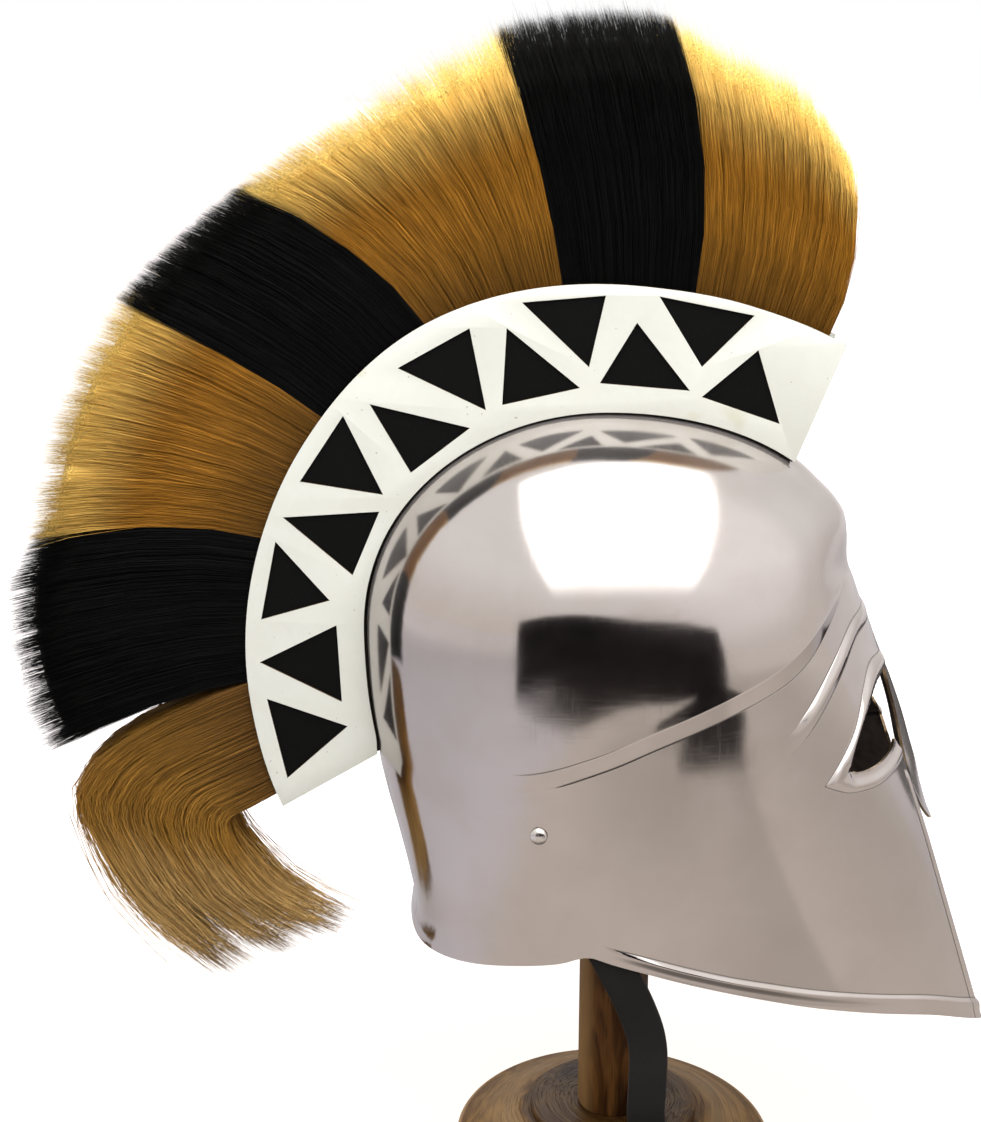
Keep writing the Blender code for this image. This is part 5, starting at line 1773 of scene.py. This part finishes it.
def make_floor():
    """Pale floor, white to the camera; cooler behind, dimmer under the helmet and in front."""
    material, tree, shader = new_finish("studio floor", Roughness=0.7, Specular_IOR_Level=0.1)
    feed(shader, Emission_Color=(1.0, 0.95, 0.905))
    place = object_place(tree)
    parts = split(tree, place)
    out = length_of(tree, place)
    left = ramp(tree, parts[0], -0.45, -0.2, 1.0, 0.0)
    behind = ramp(tree, parts[1], 0.05, 0.3)
    cool = highest(tree, left, behind)
    tone = blend(tree, cool, (0.52, 0.475, 0.43), (0.545, 0.525, 0.55))

    # A soft-edged shade whose front edge runs from in front of the stand towards its side
    across = maths(
        tree,
        "ADD",
        times(tree, maths(tree, "SUBTRACT", parts[0], 0.49), 0.853),
        times(tree, maths(tree, "ADD", parts[1], 0.49), 0.52),
    )
    edge = ramp(tree, across, -0.012, 0.012, 1.0, 0.0)
    edge = times(tree, edge, ramp(tree, across, -0.32, 0.0, 0.0, 0.2))
    edge = times(tree, edge, ramp(tree, parts[1], -0.3, -0.1, 1.0, 0.0))
    front = add(
        tree,
        "VectorMath",
        {0: place, 1: (0.22, -0.78, 0.0)},
        operation="DISTANCE",
    ).outputs[1]
    dim = highest(tree, edge, ramp(tree, front, 0.1, 0.45, 0.22, 0.0))
    dim = highest(tree, dim, ramp(tree, out, 0.17, 0.34, 0.7, 0.0))
    shaded = blend(tree, dim, tone, (0.0, 0.0, 0.0))
    feed(shader, Base_Color=shaded)
    ray = add(tree, "LightPath").outputs
    far = times(tree, ray["Is Glossy Ray"], ramp(tree, out, 0.5, 3.2, 0.0, 0.56))
    glow = scaled(tree, ray["Is Camera Ray"], 0.95, far)
    feed(shader, Emission_Strength=glow)
    settle(studio_plane("studio_floor", (0, 0, 0), (0, 0, 1), 40, 40, material))


# Dark openings of the studio: lower and upper edge of each, column by column
DARK_FRONT = [
    ((-0.54, -0.85, 0.010), (-0.54, -0.85, 0.44)), ((-0.38, -0.85, 0.045), (-0.36, -0.85, 0.480)),
    ((-0.23, -0.85, 0.085), (-0.20, -0.85, 0.490)), ((-0.10, -0.85, 0.110), (-0.06, -0.85, 0.485)),
    ((0.02, -0.85, 0.127), (0.05, -0.85, 0.478)), ((0.16, -0.85, 0.127), (0.20, -0.85, 0.455)),
    ((0.31, -0.85, 0.110), (0.38, -0.85, 0.455)), ((0.45, -0.85, 0.110), (0.50, -0.85, 0.465)),
    ((0.68, -0.85, 0.110), (0.64, -0.85, 0.475)),
]
DARK_LOW = [
    ((0.22, -0.85, 0.001), (0.24, -0.85, 0.045)), ((0.45, -0.85, 0.001), (0.45, -0.85, 0.112)),
    ((0.68, -0.85, 0.001), (0.68, -0.85, 0.112)), ((0.87, -0.85, 0.001), (0.70, -0.85, 0.100)),
]
DARK_FLOOR = [
    ((0.28, -0.73, 0.002), (0.42, -0.85, 0.002)), ((0.60, -0.68, 0.002), (0.87, -0.85, 0.002)),
]
DARK_NOSE = [
    ((0.39, 0.042, 0.195), (0.39, 0.042, 0.262)), ((0.188, 0.236, 0.195), (0.188, 0.236, 0.262)),
]


def only_mirrored(plane):
    """Leaves a plane of the studio visible in the polish alone."""
    plane.visible_camera = False
    plane.visible_shadow = False
    plane.visible_diffuse = False


def make_dark_cards():
    material, tree, shader = new_finish("dark studio", Roughness=0.9, Specular_IOR_Level=0.0)
    shade = noise(tree, object_place(tree), 9.0, 3.0)
    colour = blend(tree, shade, (0.002, 0.002, 0.002), (0.03, 0.026, 0.027))
    feed(shader, Base_Color=colour)
    cards = {"front": DARK_FRONT, "low": DARK_LOW, "floor": DARK_FLOOR, "nose": DARK_NOSE}
    for name, columns in cards.items():
        card = grid("studio_dark_" + name, len(columns) - 1, 1)
        places = [columns[round(x)][round(y)] for x, y, _ in coordinates(card.data)]
        put_coordinates(card.data, places)
        give(card, material)
        only_mirrored(card)


def make_window():
    """The bright window above, as the polish shows it: sharp at its sides, soft below."""
    material = bpy.data.materials.new("studio window")
    material.use_nodes = True
    tree = material.node_tree
    tree.nodes.clear()
    parts = split(tree, object_place(tree))
    sides = ramp(tree, maths(tree, "ABSOLUTE", parts[0]), 0.44, 0.5, 1.0, 0.0)
    top = ramp(tree, parts[1], 0.46, 0.5, 1.0, 0.0)
    below = ramp(tree, parts[1], -0.5, -0.2)
    glow = times(tree, sides, times(tree, top, below))
    strength = times(tree, glow, 2.6)
    light = add(tree, "Emission", {"Strength": strength}).outputs[0]
    clear = add(tree, "BsdfTransparent").outputs[0]
    both = add(tree, "AddShader", {0: light, 1: clear}).outputs[0]
    add(tree, "OutputMaterial", {"Surface": both})
    centre = (0.055, -0.68, 1.23)
    plane = studio_plane("studio_window", centre, (-0.05, 0.5, -0.86), 1.46, 1.8, material)
    only_mirrored(plane)


def make_world():
    """White to the camera; in the polish, warm and dim low down, bright and plain above."""
    world = bpy.data.worlds.new("studio")
    bpy.context.scene.world = world
    world.use_nodes = True
    tree = world.node_tree
    tree.nodes.clear()
    ray = add(tree, "LightPath").outputs
    way = add(tree, "TexCoord").outputs["Generated"]
    parts = split(tree, way)
    up = ramp(tree, parts[2], -0.05, 0.5)
    shade = blend(tree, up, (0.95, 0.885, 0.845), (1.2, 1.19, 1.17))
    near = ramp(tree, parts[1], -0.25, 0.1, 0.48, 0.0)
    near = times(tree, near, ramp(tree, parts[0], 0.15, 0.65))
    near = times(tree, near, ramp(tree, parts[2], 0.0, 0.4))
    shade = blend(tree, near, shade, (1.75, 1.70, 1.68))
    behind = ramp(tree, parts[1], 0.1, 0.6, 0.02, 0.2)
    behind = times(tree, behind, ramp(tree, parts[0], 0.2, 0.6))
    shade = blend(tree, behind, shade, (0.0, 0.0, 0.0))
    mirrored = add(tree, "Background", {"Color": shade}).outputs[0]
    sockets = {"Color": (0.96, 0.95, 0.97), "Strength": 0.6}
    lit = add(tree, "Background", sockets).outputs[0]
    seen = add(tree, "Background", {"Color": (1, 1, 1)}).outputs[0]
    sockets = {0: ray["Is Glossy Ray"], 1: lit, 2: mirrored}
    mixed = add(tree, "MixShader", sockets).outputs[0]
    sockets = {0: ray["Is Camera Ray"], 1: mixed, 2: seen}
    mixed = add(tree, "MixShader", sockets).outputs[0]
    add(tree, "OutputWorld", {"Surface": mixed})


def make_studio():
    make_camera()
    make_floor()
    make_dark_cards()
    make_window()
    make_world()
    middle = Vector((-0.02, 0.0, 0.36))
    up = Vector((0.05, -0.5, 0.86)).normalized()
    key = soft_box("key", middle + up * 1.1, middle, width=1.5, height=1.5, power=26.0)
    key.visible_glossy = False
    soft_box("back_glow", (-0.3, 1.3, 1.2), (-0.1, 0, 0.4), width=1.2, height=0.8, power=9.0)
    view = bpy.context.scene.view_settings
    view.view_transform = "Standard"
    view.look = "None"


make_bowl()
make_plates()
give(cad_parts["crest_core"], FILLER)
give(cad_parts["crest_saddle"], FELT)
make_hair()
make_strap()
make_rivets()
make_base()
make_post()
make_studio()
